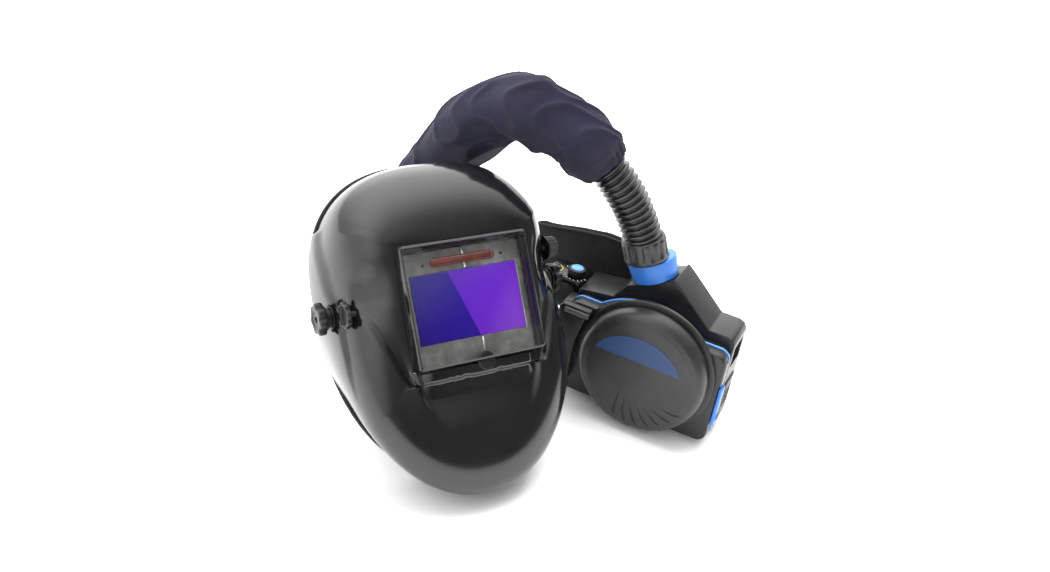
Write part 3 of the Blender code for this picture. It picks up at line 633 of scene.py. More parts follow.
def window_loop(across, up):
    """Points round the window opening, counter-clockwise seen from the front."""
    half = FRAME_HALF + 0.001
    top = FRAME_HIGH + 0.001
    bottom = FRAME_LOW - 0.001
    corners = [(-half, bottom), (half, bottom), (half, top), (-half, top)]
    points = []
    for index, steps in enumerate((across, up, across, up)):
        start = corners[index]
        end = corners[(index + 1) % 4]
        for step in range(steps):
            t = step / steps
            x = start[0] + (end[0] - start[0]) * t
            z = start[1] + (end[1] - start[1]) * t
            depth = -0.009 * (z - bottom) / (top - bottom) + 0.006 * (x / half) ** 2
            points.append(Vector((x, depth, z)))
    return points


def shell_point(window, edge, t):
    """A point between the window opening (t = 0) and the rear edge (t = 1)."""
    angle = t * math.pi / 2
    lower = lowness(edge.z)
    upper = min(1.0, max(0.0, (edge.z - 0.045) / 0.06))
    power = 0.94 - 0.36 * lower - 0.15 * upper
    spread = math.sin(angle) ** power
    deep = 1 - abs(math.cos(angle)) ** power
    outward = Vector((edge.x - window.x, 0, edge.z - window.z)).normalized()
    bulge = (0.001 + 0.033 * lower) * math.sin(2 * angle)
    x = window.x + (edge.x - window.x) * spread + outward.x * bulge
    z = window.z + (edge.z - window.z) * spread + outward.z * bulge
    y = window.y + (edge.y - window.y) * deep
    return Vector((x, y, z))


def shell_relief(co):
    """How far the outside stands out of the plain shell at a place, along its normal."""
    x, y, z = co
    side = smooth(0.08, 0.1, abs(x))
    front = np.interp(z, (-0.075, -0.032, 0.003, 0.031, 0.058, 0.092), (0.04, 0.036, 0.04, 0.0505, 0.055,
        0.0725))
    width = np.interp(z, (-0.075, -0.032, 0.007, 0.038, 0.067, 0.094), (0.004, 0.007, 0.01, 0.0205, 0.0245,
        0.0235))
    band = smooth(front, front + width, y) * smooth(0.101, 0.093, z) * smooth(-0.085, -0.03, z)
    height = 0.003 * float(band * side)
    crease = np.interp(z, (-0.115, -0.084, -0.057, -0.025, 0.008, 0.036, 0.06),
        (0.05, 0.067, 0.081, 0.093, 0.107, 0.106, 0.098))
    inside = smooth(0.068, crease - 0.006, abs(x)) * smooth(crease + 0.005, crease - 0.004, abs(x))
    scoop = inside * smooth(0.062, 0.03, z) * smooth(-0.125, -0.08, z) * (y < 0.06)
    height -= 0.0042 * float(scoop)
    return height


def make_shell():
    rows = 84
    loop = window_loop(64, 56)
    count = len(loop)
    bm = bmesh.new()
    rings = []
    for row in range(rows + 1):
        ring = []
        for window in loop:
            edge = shell_edge(math.atan2(window.z - SHELL_CENTRE_UP, window.x))
            ring.append(bm.verts.new(shell_point(window, edge, (row / rows) ** ROW_CROWDING)))
        rings.append(ring)
    for inner, outer in zip(rings, rings[1:]):
        for index in range(count):
            after = (index + 1) % count
            bm.faces.new((inner[index], outer[index], outer[after], inner[after]))
    bm.normal_update()
    outward = 1.0 if rings[rows // 2][count * 3 // 4].normal.x < 0 else -1.0
    shifts = [(vert, vert.normal * (outward * shell_relief(vert.co))) for vert in bm.verts]
    for vert, shift in shifts:
        vert.co += shift
    tree = BVHTree.FromBMesh(bm)
    mesh = finish_mesh(bm, "shell_skin", 0)
    shell = piece("shell_skin", mesh, GLOSS, HELMET, "helmet", "helmet_shell", "gloss_black_shell")
    thicken(shell, SHELL_THICKNESS, -1.0)
    modifier(shell, "BEVEL", width=0.0008, segments=2, limit_method="ANGLE", angle_limit=math.radians(60))
    modifier(shell, "SUBSURF", levels=1, render_levels=1)
    bead = []
    for step in range(180):
        edge = shell_edge(2 * math.pi * step / 180)
        bead.append(edge + Vector((edge.x, 0, edge.z - SHELL_CENTRE_UP)).normalized() * 0.0001)
    rows = tube_rows(bead + bead[:2], 0.0024, 12)[:-2]
    rim = piece("shell_rim", grid_mesh("shell_rim", rows, True, True), NYLON, HELMET, "helmet",
        slot="gloss_black_shell")
    rim.data.shade_smooth()
    make_sill(tree)


def make_sill(tree):
    """The sloping sill under the window, a skin that rises off the shell towards the frame."""
    columns = 90
    rows = 30
    points = []
    for row in range(rows + 1):
        z = SILL_HIGH + (SILL_LOW - SILL_HIGH) * row / rows
        line = []
        for column in range(columns + 1):
            x = SILL_HALF * (2 * column / columns - 1)
            shell_y = tree.ray_cast(Vector((x, -0.2, z)), Vector((0, 1, 0)))[0].y
            share = float(smooth(SILL_HALF, SILL_HALF * 0.8, abs(x))) * (1 - row / rows)
            line.append(Vector((x, shell_y - SILL_LIFT * share + 0.0009, z)))
        points.append(line)
    mesh = grid_mesh("window_sill", points, angle=0)
    sill = piece("window_sill", mesh, GLOSS, HELMET, "helmet", slot="gloss_black_shell")
    thicken(sill, 0.0016, 1.0)


# ---- window and cassette -------------------------------------------------------


def rounded_loop(left, right, low, high, radius, y, steps=6):
    points = []
    for x, z, start in ((right, high, 0), (left, high, 90), (left, low, 180), (right, low, 270)):
        centre = (x - math.copysign(radius, x - (left + right) / 2), z - math.copysign(radius,
            z - (low + high) / 2))
        for step in range(steps + 1):
            turn = math.radians(start + 90 * step / steps)
            points.append(Vector((centre[0] + radius * math.cos(turn), y, centre[1] + radius
                * math.sin(turn))))
    return points


def frame_loop(grow, y, radius):
    return rounded_loop(-FRAME_HALF - grow, FRAME_HALF + grow, FRAME_LOW - grow, FRAME_HIGH + grow, radius,
        y)


def recess_loop(share, y):
    """The recess walls narrow from the frame's front (share 1) to the cassette (share 0)."""
    half = 0.0648 + 0.0022 * share
    low = -0.0558 + 0.0006 * share
    high = 0.0558 + 0.0052 * share
    return rounded_loop(-half, half, low, high, 0.0025, y)


def make_window():
    loops = [frame_loop(0.0, FRAME_BACK, 0.003), frame_loop(0.0012, 0.006, 0.004),
        frame_loop(0.002, -0.002, 0.005), frame_loop(0.0004, -0.01, 0.004), frame_loop(-0.0002, -0.0118,
        0.004), frame_loop(-0.0012, -0.0124, 0.0035), frame_loop(-0.002, -0.012, 0.003),
        recess_loop(1.0, -0.0108), recess_loop(0.55, -0.006), recess_loop(0.5, -0.0052),
        recess_loop(0.35, -0.005), recess_loop(0.0, -0.0003), rounded_loop(-0.0668, 0.0668, -0.0573, 0.0573,
        0.001, 0.0001), rounded_loop(-0.0668, 0.0668, -0.0573, 0.0573, 0.001, FRAME_BACK)]
    mesh = grid_mesh("visor_frame", loops, True, True, angle=30)
    piece("visor_frame", mesh, GLOSS, HELMET, "helmet", "window_frame", "gloss_black_shell")
    notch = lathe_mesh("visor_notch", [(0.0, 0.0), (0.0085, 0.0), (0.0093, -0.001), (0.0093, -0.004),
        (0.0, -0.004)], 40, (0, -1, 0), (0.003, -0.0092, -0.059))
    piece("visor_notch", notch, NYLON, HELMET, "helmet", slot="gloss_black_shell")

    lens = box_mesh("cover_lens_clear", (0.1328, 0.0012, 0.1138), (0, 0.0009, 0), 0.0003, 2)
    piece("cover_lens_clear", lens, LENS, HELMET, "helmet", "outer_cover_lens")
    body = [box_mesh("a", (CASSETTE_WIDTH, 0.0068, CASSETTE_TALL), (0, 0.0064, 0), 0.0006, 2)]
    rim = rounded_loop(-0.0665, 0.0665, -0.057, 0.057, 0.0012, 0.0018)
    middle = 0.0445
    outer = [rim, rounded_loop(-0.0597, 0.0597, -0.035, 0.035, 0.0012, 0.0018)]
    faces = [grid_mesh("b", outer + [rounded_loop(-0.059, 0.059, -0.0343, 0.0343, 0.001, 0.0026),
        rounded_loop(-0.059, 0.059, -0.0343, 0.0343, 0.001, 0.003)], False, True, angle=30)]
    cassette = join_meshes("cassette_face", body + faces)
    piece("cassette_face", cassette, SILVER, HELMET, "helmet", "cassette_body")
    glass = box_mesh("filter_glass", (LCD_SIZE[0], 0.001, LCD_SIZE[1]), (0, 0.0025, 0), 0.0003, 2)
    piece("filter_glass", glass, LCD, HELMET, "helmet", "lcd_glass", "violet_lcd", True)
    cells = box_mesh("solar_cells", (0.07, 0.0006, 0.0085), (0, 0.0015, middle), 0.0028, 4)
    piece("solar_cells", cells, SOLAR, HELMET, "helmet", "solar_strip", "solar_strip", True)
    # Painted reflection: two bright strips stand for the reflection of an edge in the cover lens, a vertical
    # line above and below the filter glass.
    for name, tall, low in (("cassette_painted_reflection_top", 0.0205, 0.0355), ("cassette_painted_reflection_low", 0.0205, -0.056)):
        reflection_strip = box_mesh(name, (0.0016, 0.0003, tall), (0.002 + (0.006 if low < 0 else 0), 0.00155,
            low + tall / 2), 0.0001, 1)
        piece(name, reflection_strip, REFLECTION_STRIP_METAL, HELMET, "helmet", slot="silver_cassette")
    for index, (x, z, radius) in enumerate(((-0.043, 0.043, 0.0017), (0.044, 0.044, 0.0017),
                                            (-0.001, 0.0525, 0.001), (0.0025, 0.0525, 0.001))):
        eye = lathe_mesh(f"light_sensor_{index}", [(0.0, 0.0004), (radius * 0.6, 0.00035), (radius, 0.0),
            (0.0, -0.0002)], 20, (0, -1, 0), (x, 0.0014, z))
        piece(f"light_sensor_{index}", eye, SENSOR, HELMET, "helmet", slot="silver_cassette")

    loops = []
    for grow, y in ((0.0, 0.0102), (0.0, 0.015), (-0.001, 0.0157), (-0.005, 0.0157), (-0.0062, 0.0148),
                    (-0.0062, 0.0102)):
        loops.append(rounded_loop(-0.0665 - grow, 0.0665 + grow, -0.057 - grow, 0.057 + grow, 0.002, y))
    retainer = grid_mesh("retainer_ring", loops, True, True, angle=30)
    piece("retainer_ring", retainer, NYLON, HELMET, "helmet", "retaining_frame")
    inner = box_mesh("inner_lens_clear", (0.107, 0.0011, 0.062), (0, 0.0107, 0.012), 0.0003, 2)
    piece("inner_lens_clear", inner, LENS, HELMET, "helmet", "inner_cover_lens")
    for name, node, body_name, x in (
            ("sensitivity_dial_knob", "sensitivity_knob", "sensitivity_dial", -0.018),
            ("delay_dial_knob", "delay_knob", "delay_dial", 0.018)):
        knob = lobed_mesh(name, 0.0065, 0.0006, 10, 0.0058, (0, 1, 0), (x, 0.0133, -0.037), 100, 0.0006)
        pointer = box_mesh("p", (0.0008, 0.0004, 0.0045), (x, 0.0163, -0.035), 0.0001, 1)
        knob = join_meshes(name, [knob, pointer])
        piece(name, knob, GREY_NYLON, HELMET, body_name, node, "black_nylon")
    button = lathe_mesh("test_button_cap", [(0.0, 0.0043), (0.0028, 0.0042), (0.0037, 0.0038),
        (0.004, 0.003), (0.004, 0.0), (0.0, 0.0)], 36, (0, 1, 0), (0, 0.00865, -0.037))
    piece("test_button_cap", button, BLUE, HELMET, "test_key", "test_button")
    for side, node, body_name in ((-1, "battery_cap_r", "coin_cap_r"), (1, "battery_cap_l", "coin_cap_l")):
        profile = [(0.0, 0.0018), (0.0072, 0.0018), (0.008, 0.0026), (0.0105, 0.0026), (0.0115, 0.002),
            (0.0115, 0.0), (0.0, 0.0)]
        cap = lathe_mesh(node + "_disc", profile, 48, (0, 1, 0), (side * 0.044, 0.0102, -0.037))
        slot_bar = box_mesh("s", (0.013, 0.0008, 0.0016), (side * 0.044, 0.0124, -0.037), 0.0003, 1)
        cap = join_meshes(node + "_disc", [cap, slot_bar])
        piece(node + "_disc", cap, NYLON, HELMET, body_name, node)


def make_side_controls():
    x, y, z = SHADE_KNOB
    knob = lobed_mesh("shade_knob_grip", 0.0115, 0.0009, 18, 0.01, (1, 0, 0), (x + 0.0085, y, z), 216,
        0.001, hollow=0.0012)
    shaft = lathe_mesh("s", [(0.0, 0.0), (0.003, 0.0), (0.003, 0.03), (0.0, 0.03)], 24, (1, 0, 0),
        (x - 0.025, y, z))
    piece("shade_knob_grip", join_meshes("shade_knob_grip", [knob, shaft]), GREY_NYLON, HELMET,
        "shade_dial", "shade_knob", "black_nylon")
    skirt = lathe_mesh("shade_skirt", [(0.0045, 0.0), (0.013, 0.0), (0.0124, 0.0016), (0.0045, 0.0016),
        (0.0045, 0.0)], 48, (1, 0, 0), (x + 0.0006, y, z))
    piece("shade_skirt", skirt, NYLON, HELMET, "helmet")
    case = [box_mesh("c", (0.01, 0.022, 0.024), (x - 0.0325, y, z), 0.0016, 3)]
    for shift in (-0.006, 0.0, 0.006):
        case.append(box_mesh("c", (0.0006, 0.014, 0.0014), (x - 0.0378, y, z + shift), 0.0002, 1))
    piece("shade_case", join_meshes("shade_case", case), NYLON, HELMET, "helmet", "shade_control_box")
    x, y, z = TILT_WHEEL
    wheel = lobed_mesh("tilt_wheel_grip", 0.0135, 0.0017, 8, 0.005, (-1, 0, 0), (x - 0.0075, y, z), 160,
        0.001, hollow=0.001)
    shaft = lathe_mesh("s", [(0.0, 0.0), (0.003, 0.0), (0.003, 0.022), (0.0, 0.022)], 24, (1, 0, 0),
        (x - 0.0057, y, z))
    piece("tilt_wheel_grip", join_meshes("tilt_wheel_grip", [wheel, shaft]), NYLON, HELMET, "tilt_dial",
        "tilt_wheel")


# ---- headgear ------------------------------------------------------------------


def head_point(angle, offset=0.0, up=BAND_UP):
    turn = math.radians(angle)
    return Vector(((HEAD_HALF_WIDTH + offset) * math.cos(turn), HEAD_CENTRE_BACK
        + (HEAD_HALF_LENGTH + offset) * math.sin(turn), up))


def make_pivots():
    for side, suffix in ((-1, "r"), (1, "l")):
        out = (side, 0, 0)
        bolt = lathe_mesh("bolt", [(0.0, 0.0), (0.0052, 0.0), (0.0075, 0.002), (0.0075, 0.0045),
            (0.003, 0.0045), (0.003, 0.0326), (0.0024, 0.033), (0.0, 0.033)], 40, out, (side * 0.103, 0, 0))
        piece("pivot_screw_" + suffix, bolt, STEEL, HEADGEAR, "headgear", "pivot_bolt_" + suffix)
        disc = lathe_mesh("disc", [(0.0033, 0.0), (0.0126, 0.0), (0.013, 0.0004), (0.013, 0.0022),
            (0.0126, 0.0026), (0.0033, 0.0026), (0.0033, 0.0)], 48, out, (side * 0.111, 0, 0))
        piece("inner_washer_" + suffix, disc, NYLON, HEADGEAR, "headgear", "inner_disc_" + suffix)
        collar = lathe_mesh("collar", [(0.0033, 0.0), (0.012, 0.0), (0.0125, 0.0005), (0.0125, 0.002),
            (0.0098, 0.0026), (0.0098, 0.0052), (0.0122, 0.0058), (0.0122, 0.0073), (0.0117, 0.0077),
            (0.0033, 0.0077), (0.0033, 0.0)], 56, out, (side * 0.1226, 0, 0))
        piece("outer_boss_" + suffix, collar, NYLON, HEADGEAR, "headgear", "outer_collar_" + suffix)
        knob = lobed_mesh("knob", 0.0165, 0.0034, 7, 0.008, out, (side * 0.1347, 0, 0), 196, 0.0015, 0.0033,
            0.001)
        piece("tension_grip_" + suffix, knob, NYLON, HEADGEAR, "side_knob_" + suffix,
            "tension_knob_" + suffix)
        path = catmull([(side * 0.1092, -0.014, 0.0), (side * 0.1092, 0.0, 0.0), (side * 0.1092, 0.012,
            0.0), (side * 0.105, 0.024, 0.003), (side * 0.093, 0.036, 0.007), (side * 0.081, 0.044,
            BAND_UP), (side * 0.0788, 0.058, BAND_UP)], 40)
        tall = [0.024 * math.sqrt(max(0.12, 1 - max(0, 1 - i / 5) ** 2)) - 0.004 * float(smooth(10, 34, i))
            for i in range(40)]
        arm = band_mesh("arm", path, (0, 0, 1), tall, 0.003, 0.0008)
        rib = band_mesh("rib", [p + Vector((side * 0.0012, 0, 0)) for p in path[12:38]], (0, 0, 1), 0.005,
            0.003, 0.0008)
        piece("side_arm_" + suffix, join_meshes("side_arm", [arm, rib]), NYLON, HEADGEAR, "headgear",
            "pivot_arm_" + suffix)


def make_headband():
    front = [head_point(a) for a in np.linspace(40, -220, 110)]
    band = [band_mesh("b", front, (0, 0, 1), 0.02, 0.002)]
    band.append(band_mesh("r", [head_point(a, 0.0012) for a in np.linspace(30, -210, 100)], (0, 0, 1),
        0.005, 0.0014, 0.0004))
    piece("headband_strap", join_meshes("headband_strap", band), NYLON, HEADGEAR, "headgear",
        "headband_front")
    rear = [band_mesh("b", [head_point(a, 0.0026) for a in np.linspace(33, 147, 70)], (0, 0, 1), 0.026,
        0.002)]
    for up in (0.004, 0.016):
        rear.append(band_mesh("r", [head_point(a, 0.0038, up) for a in np.linspace(38, 142, 60)], (0, 0, 1),
            0.0024, 0.0012, 0.0004))
    piece("rear_cradle_band", join_meshes("rear_cradle_band", rear), NYLON, HEADGEAR, "nape_cradle",
        "rear_cradle")
    back = HEAD_CENTRE_BACK + HEAD_HALF_LENGTH + 0.004
    case = [box_mesh("c", (0.05, 0.01, 0.03), (0, back + 0.0053, BAND_UP), 0.003, 4)]
    case.append(lathe_mesh("c", [(0.0, 0.0), (0.0195, 0.0), (0.019, 0.0012), (0.0, 0.0012)], 48, (0, 1, 0),
        (0, back + 0.0099, BAND_UP)))
    for x in (-0.0205, 0.0205):
        case.append(lathe_mesh("c", [(0.0, 0.0006), (0.0016, 0.0005), (0.0022, 0.0), (0.0, 0.0)], 20,
            (0, 1, 0), (x, back + 0.0103, BAND_UP)))
    piece("ratchet_case", join_meshes("ratchet_case", case), NYLON, HEADGEAR, "nape_cradle",
        "ratchet_housing")
    knob = lobed_mesh("nape_grip", 0.018, 0.0016, 16, 0.0124, (0, 1, 0), (0, back + 0.0184, BAND_UP), 256,
        0.0016, hollow=0.0014)
    piece("nape_grip", knob, GREY_NYLON, HEADGEAR, "nape_knob", "ratchet_knob", "black_nylon")
    for name, y in (("crown_strap_front", 0.034), ("crown_strap_rear", 0.054)):
        path = [Vector((CROWN_HALF * math.cos(a), y, BAND_UP + CROWN_RISE * math.sin(a)))
            for a in np.radians(np.linspace(2, 178, 70))]
        strap = [band_mesh("s", path, (0, 1, 0), 0.014, 0.0018)]
        for index in range(10, 61, 5):
            p = path[index]
            out = Vector((p.x / CROWN_HALF ** 2, 0, (p.z - BAND_UP) / CROWN_RISE ** 2)).normalized()
            strap.append(lathe_mesh("n", [(0.0, 0.0008), (0.0014, 0.0007), (0.002, 0.0), (0.0, -0.0004)],
                16, out, p + out * 0.0009))
        piece(name + "_band", join_meshes(name, strap), NYLON, HEADGEAR, "headgear", name)


def padded_strip(name, path, tall, thick, material, place, body, node, slot_name, pressure=3.0):
    """A stuffed pad: a rounded band, inflated by a short cloth run and puckered at its piping."""
    rows = []
    count = len(path)
    around = 36
    for index, point in enumerate(path):
        before = Vector(path[max(index - 1, 0)])
        after = Vector(path[min(index + 1, count - 1)])
        along = (after - before).normalized()
        out = along.cross(Vector((0, 0, 1))).normalized()
        half = (tall[index] if isinstance(tall, (list, tuple)) else tall) / 2
        end = min(index, count - 1 - index) / (0.1 * count)
        taper = math.sqrt(max(0.1, 1 - max(0.0, 1 - end) ** 2))
        row = []
        for step in range(around):
            turn = 2 * math.pi * step / around
            z = half * math.copysign(abs(math.sin(turn)) ** 0.55, math.sin(turn)) * (0.55 + 0.45 * taper)
            y = thick / 2 * math.copysign(abs(math.cos(turn)) ** 0.55, math.cos(turn)) * taper
            row.append(Vector(point) + Vector((0, 0, z)) + out * y)
        rows.append(row)
    mesh = grid_mesh(name, rows, wrap_columns=True, caps=True, angle=0)
    pad = piece(name, mesh, material, place, body, node, slot_name)
    swell(pad, pressure, thick)
    return pad


def swell(pad, pressure, thick):
    """Inflates a pad with a short cloth run; no point moves more than a share of its thickness."""
    start = [v.co.copy() for v in pad.data.vertices]
    run = pad.copy()
    run.data = pad.data.copy()
    bpy.context.scene.collection.objects.link(run)
    cloth_run = run.modifiers.new("Cloth", "CLOTH")
    settings = cloth_run.settings
    settings.quality = 6
    settings.use_pressure = True
    settings.uniform_pressure_force = pressure
    settings.effector_weights.gravity = 0.0
    settings.mass = 0.25
    settings.tension_stiffness = 18
    settings.compression_stiffness = 18
    settings.bending_stiffness = 0.4
    cloth_run.point_cache.frame_start = 1
    cloth_run.point_cache.frame_end = 20
    scene = bpy.context.scene
    for number in range(1, 21):
        scene.frame_set(number)
    depsgraph = bpy.context.evaluated_depsgraph_get()
    done = run.evaluated_get(depsgraph).data
    limit = thick * 0.25
    for index, vert in enumerate(done.vertices):
        move = vert.co - start[index]
        if move.length > limit:
            move = move.normalized() * limit
        pad.data.vertices[index].co = start[index] + move
    scene.frame_set(1)
    bpy.data.objects.remove(run)
    modifier(pad, "SUBSURF", levels=1, render_levels=1)


def make_pads():
    brow = [head_point(a, -0.0044) for a in np.linspace(-38, -142, 44)]
    padded_strip("brow_pad", brow, 0.03, 0.0058, FOAM, HEADGEAR, "headgear", "sweatband", "black_padding")
    nape = [head_point(a, -0.0026) for a in np.linspace(62, 118, 26)]
    padded_strip("nape_pad", nape, 0.034, 0.0058, FOAM, HEADGEAR, "nape_cradle", "rear_pad",
        "black_padding")


def make_duct():
    middle = 0.104
    path = catmull([(0, 0.018, middle), (0, 0.04, middle), (0, 0.062, middle), (0, 0.084, 0.0985),
        (0, 0.1, 0.089), (0, 0.114, 0.077)], 40)
    duct = [band_mesh("d", path, (1, 0, 0), 0.054, 0.008, 0.0028)]
    for x in (-0.014, 0.0, 0.014):
        raised = [p + Vector((x, 0.0, 0.0)) for p in path[4:34]]
        lifted = []
        for index, p in enumerate(raised):
            after = raised[min(index + 1, len(raised) - 1)]
            before = raised[max(index - 1, 0)]
            up = (after - before).normalized().cross(Vector((1, 0, 0)))
            lifted.append(p - up * 0.004 if up.z < 0 else p + up * 0.004)
        duct.append(band_mesh("d", lifted, (1, 0, 0), 0.003, 0.0016, 0.0006))
    piece("crown_air_duct", join_meshes("crown_air_duct", duct), NYLON, HEADGEAR, "headgear", "crown_duct")
    case = [box_mesh("c", (0.06, 0.036, 0.028), (0, 0.137, 0.0715), 0.0045, 4)]
    for x in (-0.024, 0.024):
        for y in (0.125, 0.149):
            case.append(lathe_mesh("c", [(0.0, 0.0006), (0.0018, 0.0005), (0.0024, 0.0), (0.0, -0.0002)],
                20, (0, 0, 1), (x, y, 0.0855)))
    piece("duct_case", join_meshes("duct_case", case), NYLON, HEADGEAR, "headgear", "duct_box")


# ---- hose and sleeve -----------------------------------------------------------


def path_length(points):
    return sum((Vector(b) - Vector(a)).length for a, b in zip(points, points[1:]))


def hose_rings(share, turn, ribs):
    wave = 0.5 + 0.5 * math.cos(2 * math.pi * ribs * share)
    return HOSE_RADIUS - 0.0024 + 0.0046 * wave ** 0.7 + 0.00025 * math.sin(9 * turn + 40 * share)


def make_boot(end, along):
    """The soft rubber boot that joins the collar's bore to the hose standing beside its axis."""
    turned = BLOWER.to_3x3()
    axis = turned @ PORT_AXIS
    seat = BLOWER @ TOWER_FOOT
    centres = catmull([seat + axis * 0.006, seat + axis * 0.02, end - along * 0.003, end + along * 0.008],
        24)
    side = turned @ Vector((0, 1, 0))
    rows = []
    for step, centre in enumerate(centres):
        facing = axis.lerp(along, float(smooth(0.3, 0.7, step / 23))).normalized()
        across = (side - facing * side.dot(facing)).normalized()
        other = facing.cross(across)
        rows.append([centre + BOOT_RADIUS * (across * math.cos(turn) + other * math.sin(turn))
            for turn in np.linspace(0, 2 * math.pi, 48, endpoint=False)])
    mesh = grid_mesh("hose_boot", rows, wrap_columns=True, caps=True, angle=40)
    piece("hose_boot", mesh, RUBBER, WORLD, "headgear")


def make_hose():
    known = [Vector(p) + ORIGIN for p in HOSE_ROUTE]
    sparse = catmull(known, 27)
    length = path_length(catmull(known, 400))
    ribs = round(length / RIB_PITCH)
    path = catmull(known, ribs * 8 + 1)
    rows = tube_rows(path, lambda share, turn: hose_rings(share, turn, ribs), 48)
    mesh = grid_mesh("corrugated_hose", rows, wrap_columns=True, caps=True, angle=0)
    hose = piece("corrugated_hose", mesh, HOSE, WORLD, "headgear", "air_hose")
    ends = ((sparse[0], sparse[1], "hose_cuff_blower", 0.01), (sparse[-1], sparse[-2], "hose_cuff_helmet",
        0.004))
    for end, inner, node, inside in ends:
        along = (inner - end).normalized()
        low = inside - 0.013

        def flutes(r, at, turn):
            grip = float(smooth(low + 0.004, low + 0.006, at) * smooth(low + 0.024, low + 0.021, at))
            return r - (0.0013 * grip * (0.5 + 0.5 * math.cos(14 * turn)) ** 3 if r > HOSE_RADIUS
                + 0.003 else 0)
        bore = HOSE_RADIUS + 0.0008
        profile = [(bore, low), (CUFF_RADIUS - 0.0006, low), (CUFF_RADIUS, low + 0.0008),
            (CUFF_RADIUS, low + 0.004), (CUFF_RADIUS, low + 0.006), (CUFF_RADIUS, low + 0.012),
            (CUFF_RADIUS, low + 0.02), (CUFF_RADIUS, low + 0.022), (CUFF_RADIUS - 0.0008, low + 0.025),
            (CUFF_RADIUS - 0.0022, low + CUFF_LONG), (bore, low + CUFF_LONG), (bore, low)]
        mesh = lathe_mesh(node + "_grip", profile, 168, along, end, 40, flutes)
        piece(node + "_grip", mesh, RUBBER, WORLD, "headgear", node)
    make_boot(sparse[0], (sparse[1] - sparse[0]).normalized())

    steps = 1040
    dense = catmull(known, steps + 1)
    cover = dense[round(SLEEVE_START * steps):round(SLEEVE_FINISH * steps) + 1:4]
    rows = tube_rows(cover, sleeve_radius, 112)
    mesh = grid_mesh("cloth_sleeve", rows, wrap_columns=True, angle=0)
    sleeve = piece("cloth_sleeve", mesh, NAVY, WORLD, "headgear", "hose_sleeve")
    thicken(sleeve, 0.001, 0.0)
    modifier(sleeve, "SUBSURF", levels=1, render_levels=1)
    lead = (sparse[-1] - sparse[-2]).normalized()
    foot = Vector((0.0097, 0.2135, 0.0865)) + ORIGIN
    elbow_end = sparse[-1] + lead * 0.002
    turned_in = Vector((0.0, -math.sin(HEADGEAR_LEAN), math.cos(HEADGEAR_LEAN)))
    points = []
    for index in range(49):
        t = index / 48
        points.append((1 - t) ** 3 * elbow_end + 3 * (1 - t) ** 2 * t * (elbow_end + lead * 0.03) + 3
            * (1 - t) * t ** 2 * (foot + turned_in * 0.024) + t ** 3 * foot)

    def elbow_radius(share, turn):
        ring = max(0.0, 1 - abs(share - 0.12) / 0.03) + max(0.0, 1 - abs(share - 0.9) / 0.03)
        return HOSE_RADIUS - 0.0005 + 0.0012 * min(1.0, ring)
    mesh = grid_mesh("elbow_pipe", tube_rows(points, elbow_radius, 48), wrap_columns=True, caps=True,
        angle=40)
    piece("elbow_pipe", mesh, NYLON, WORLD, "headgear", "hose_elbow")


def sleeve_radius(share, turn):
    """The sleeve hangs in three loose bulges, pinched between them and gathered at its hems."""
    hem = min(share, 1 - share)
    gather = float(smooth(0.0, 0.085, hem))
    bulges = 0.003 * math.cos(2 * math.pi * 3.1 * share - 0.6 + 0.9 * math.sin(turn))
    where = Vector((math.cos(turn) * 0.8, math.sin(turn) * 0.8, share * 6.0))
    soft = noise.noise(where) * 0.006
    slant = Vector((math.cos(turn) * 1.25, math.sin(turn) * 1.25, share * 7.5 + 1.3 * math.sin(turn + 1.0)))
    ridge = 1 - abs(noise.noise(slant)) * 1.6
    folds = (max(0.0, ridge) ** 3 - 0.45) * 0.0048
    radius = 0.0258 + 0.0098 * gather + (bulges + soft + folds) * (0.15 + 0.85 * gather)
    pleats = (1 - gather) * 0.0014 * math.cos(15 * turn + 2.0 * math.sin(3 * turn))
    elastic = 0.0014 * math.exp(-((hem - 0.02) / 0.01) ** 2)
    return max(radius + pleats + elastic, HOSE_RADIUS + 0.0036)


# ---- blower --------------------------------------------------------------------


def blower_outline(grow=0.0):
    """The housing's front view: a round-cornered block with a bulge for the cover."""
    corner = 0.012
    corners = ((BODY_RIGHT, BODY_TOP, 0), (BODY_LEFT, BODY_TOP, 90), (BODY_LEFT, BODY_BOTTOM, 180),
        (BODY_RIGHT, BODY_BOTTOM, 270))
    points = []
    for x, z, start in corners:
        centre_x = x - math.copysign(corner, x)
        centre_z = z - math.copysign(corner, z)
        for step in range(9):
            angle = math.radians(start + step * 11.25)
            points.append((centre_x + (corner + grow) * math.cos(angle), centre_z + (corner + grow)
                * math.sin(angle)))
        if start == 0:
            radius = 0.09 + grow
            reach = math.acos((BODY_TOP + grow + 0.024) / radius)
            for step in range(33):
                angle = math.pi / 2 - reach + 2 * reach * step / 32
                points.append((radius * math.cos(angle) - 0.012, radius * math.sin(angle) - 0.024))
    return points


def slab_mesh(name, outline, front, back, bevel=0.0, segments=3, holes=()):
    """An outline of (x, z) extruded from front to back, its edges rounded."""
    bm = bmesh.new()
    near = [bm.verts.new((x, front, z)) for x, z in outline]
    far = [bm.verts.new((x, back, z)) for x, z in outline]
    count = len(outline)
    bm.faces.new(near)
    bm.faces.new(list(reversed(far)))
    for index in range(count):
        after = (index + 1) % count
        bm.faces.new((near[after], near[index], far[index], far[after]))
    bmesh.ops.recalc_face_normals(bm, faces=bm.faces)
    if bevel:
        edges = [edge for edge in bm.edges if edge.calc_face_angle(0) > math.radians(32)]
        bmesh.ops.bevel(bm, geom=edges, offset=bevel, segments=segments, profile=0.5, affect="EDGES",
            clamp_overlap=True)
    return finish_mesh(bm, name, 40)


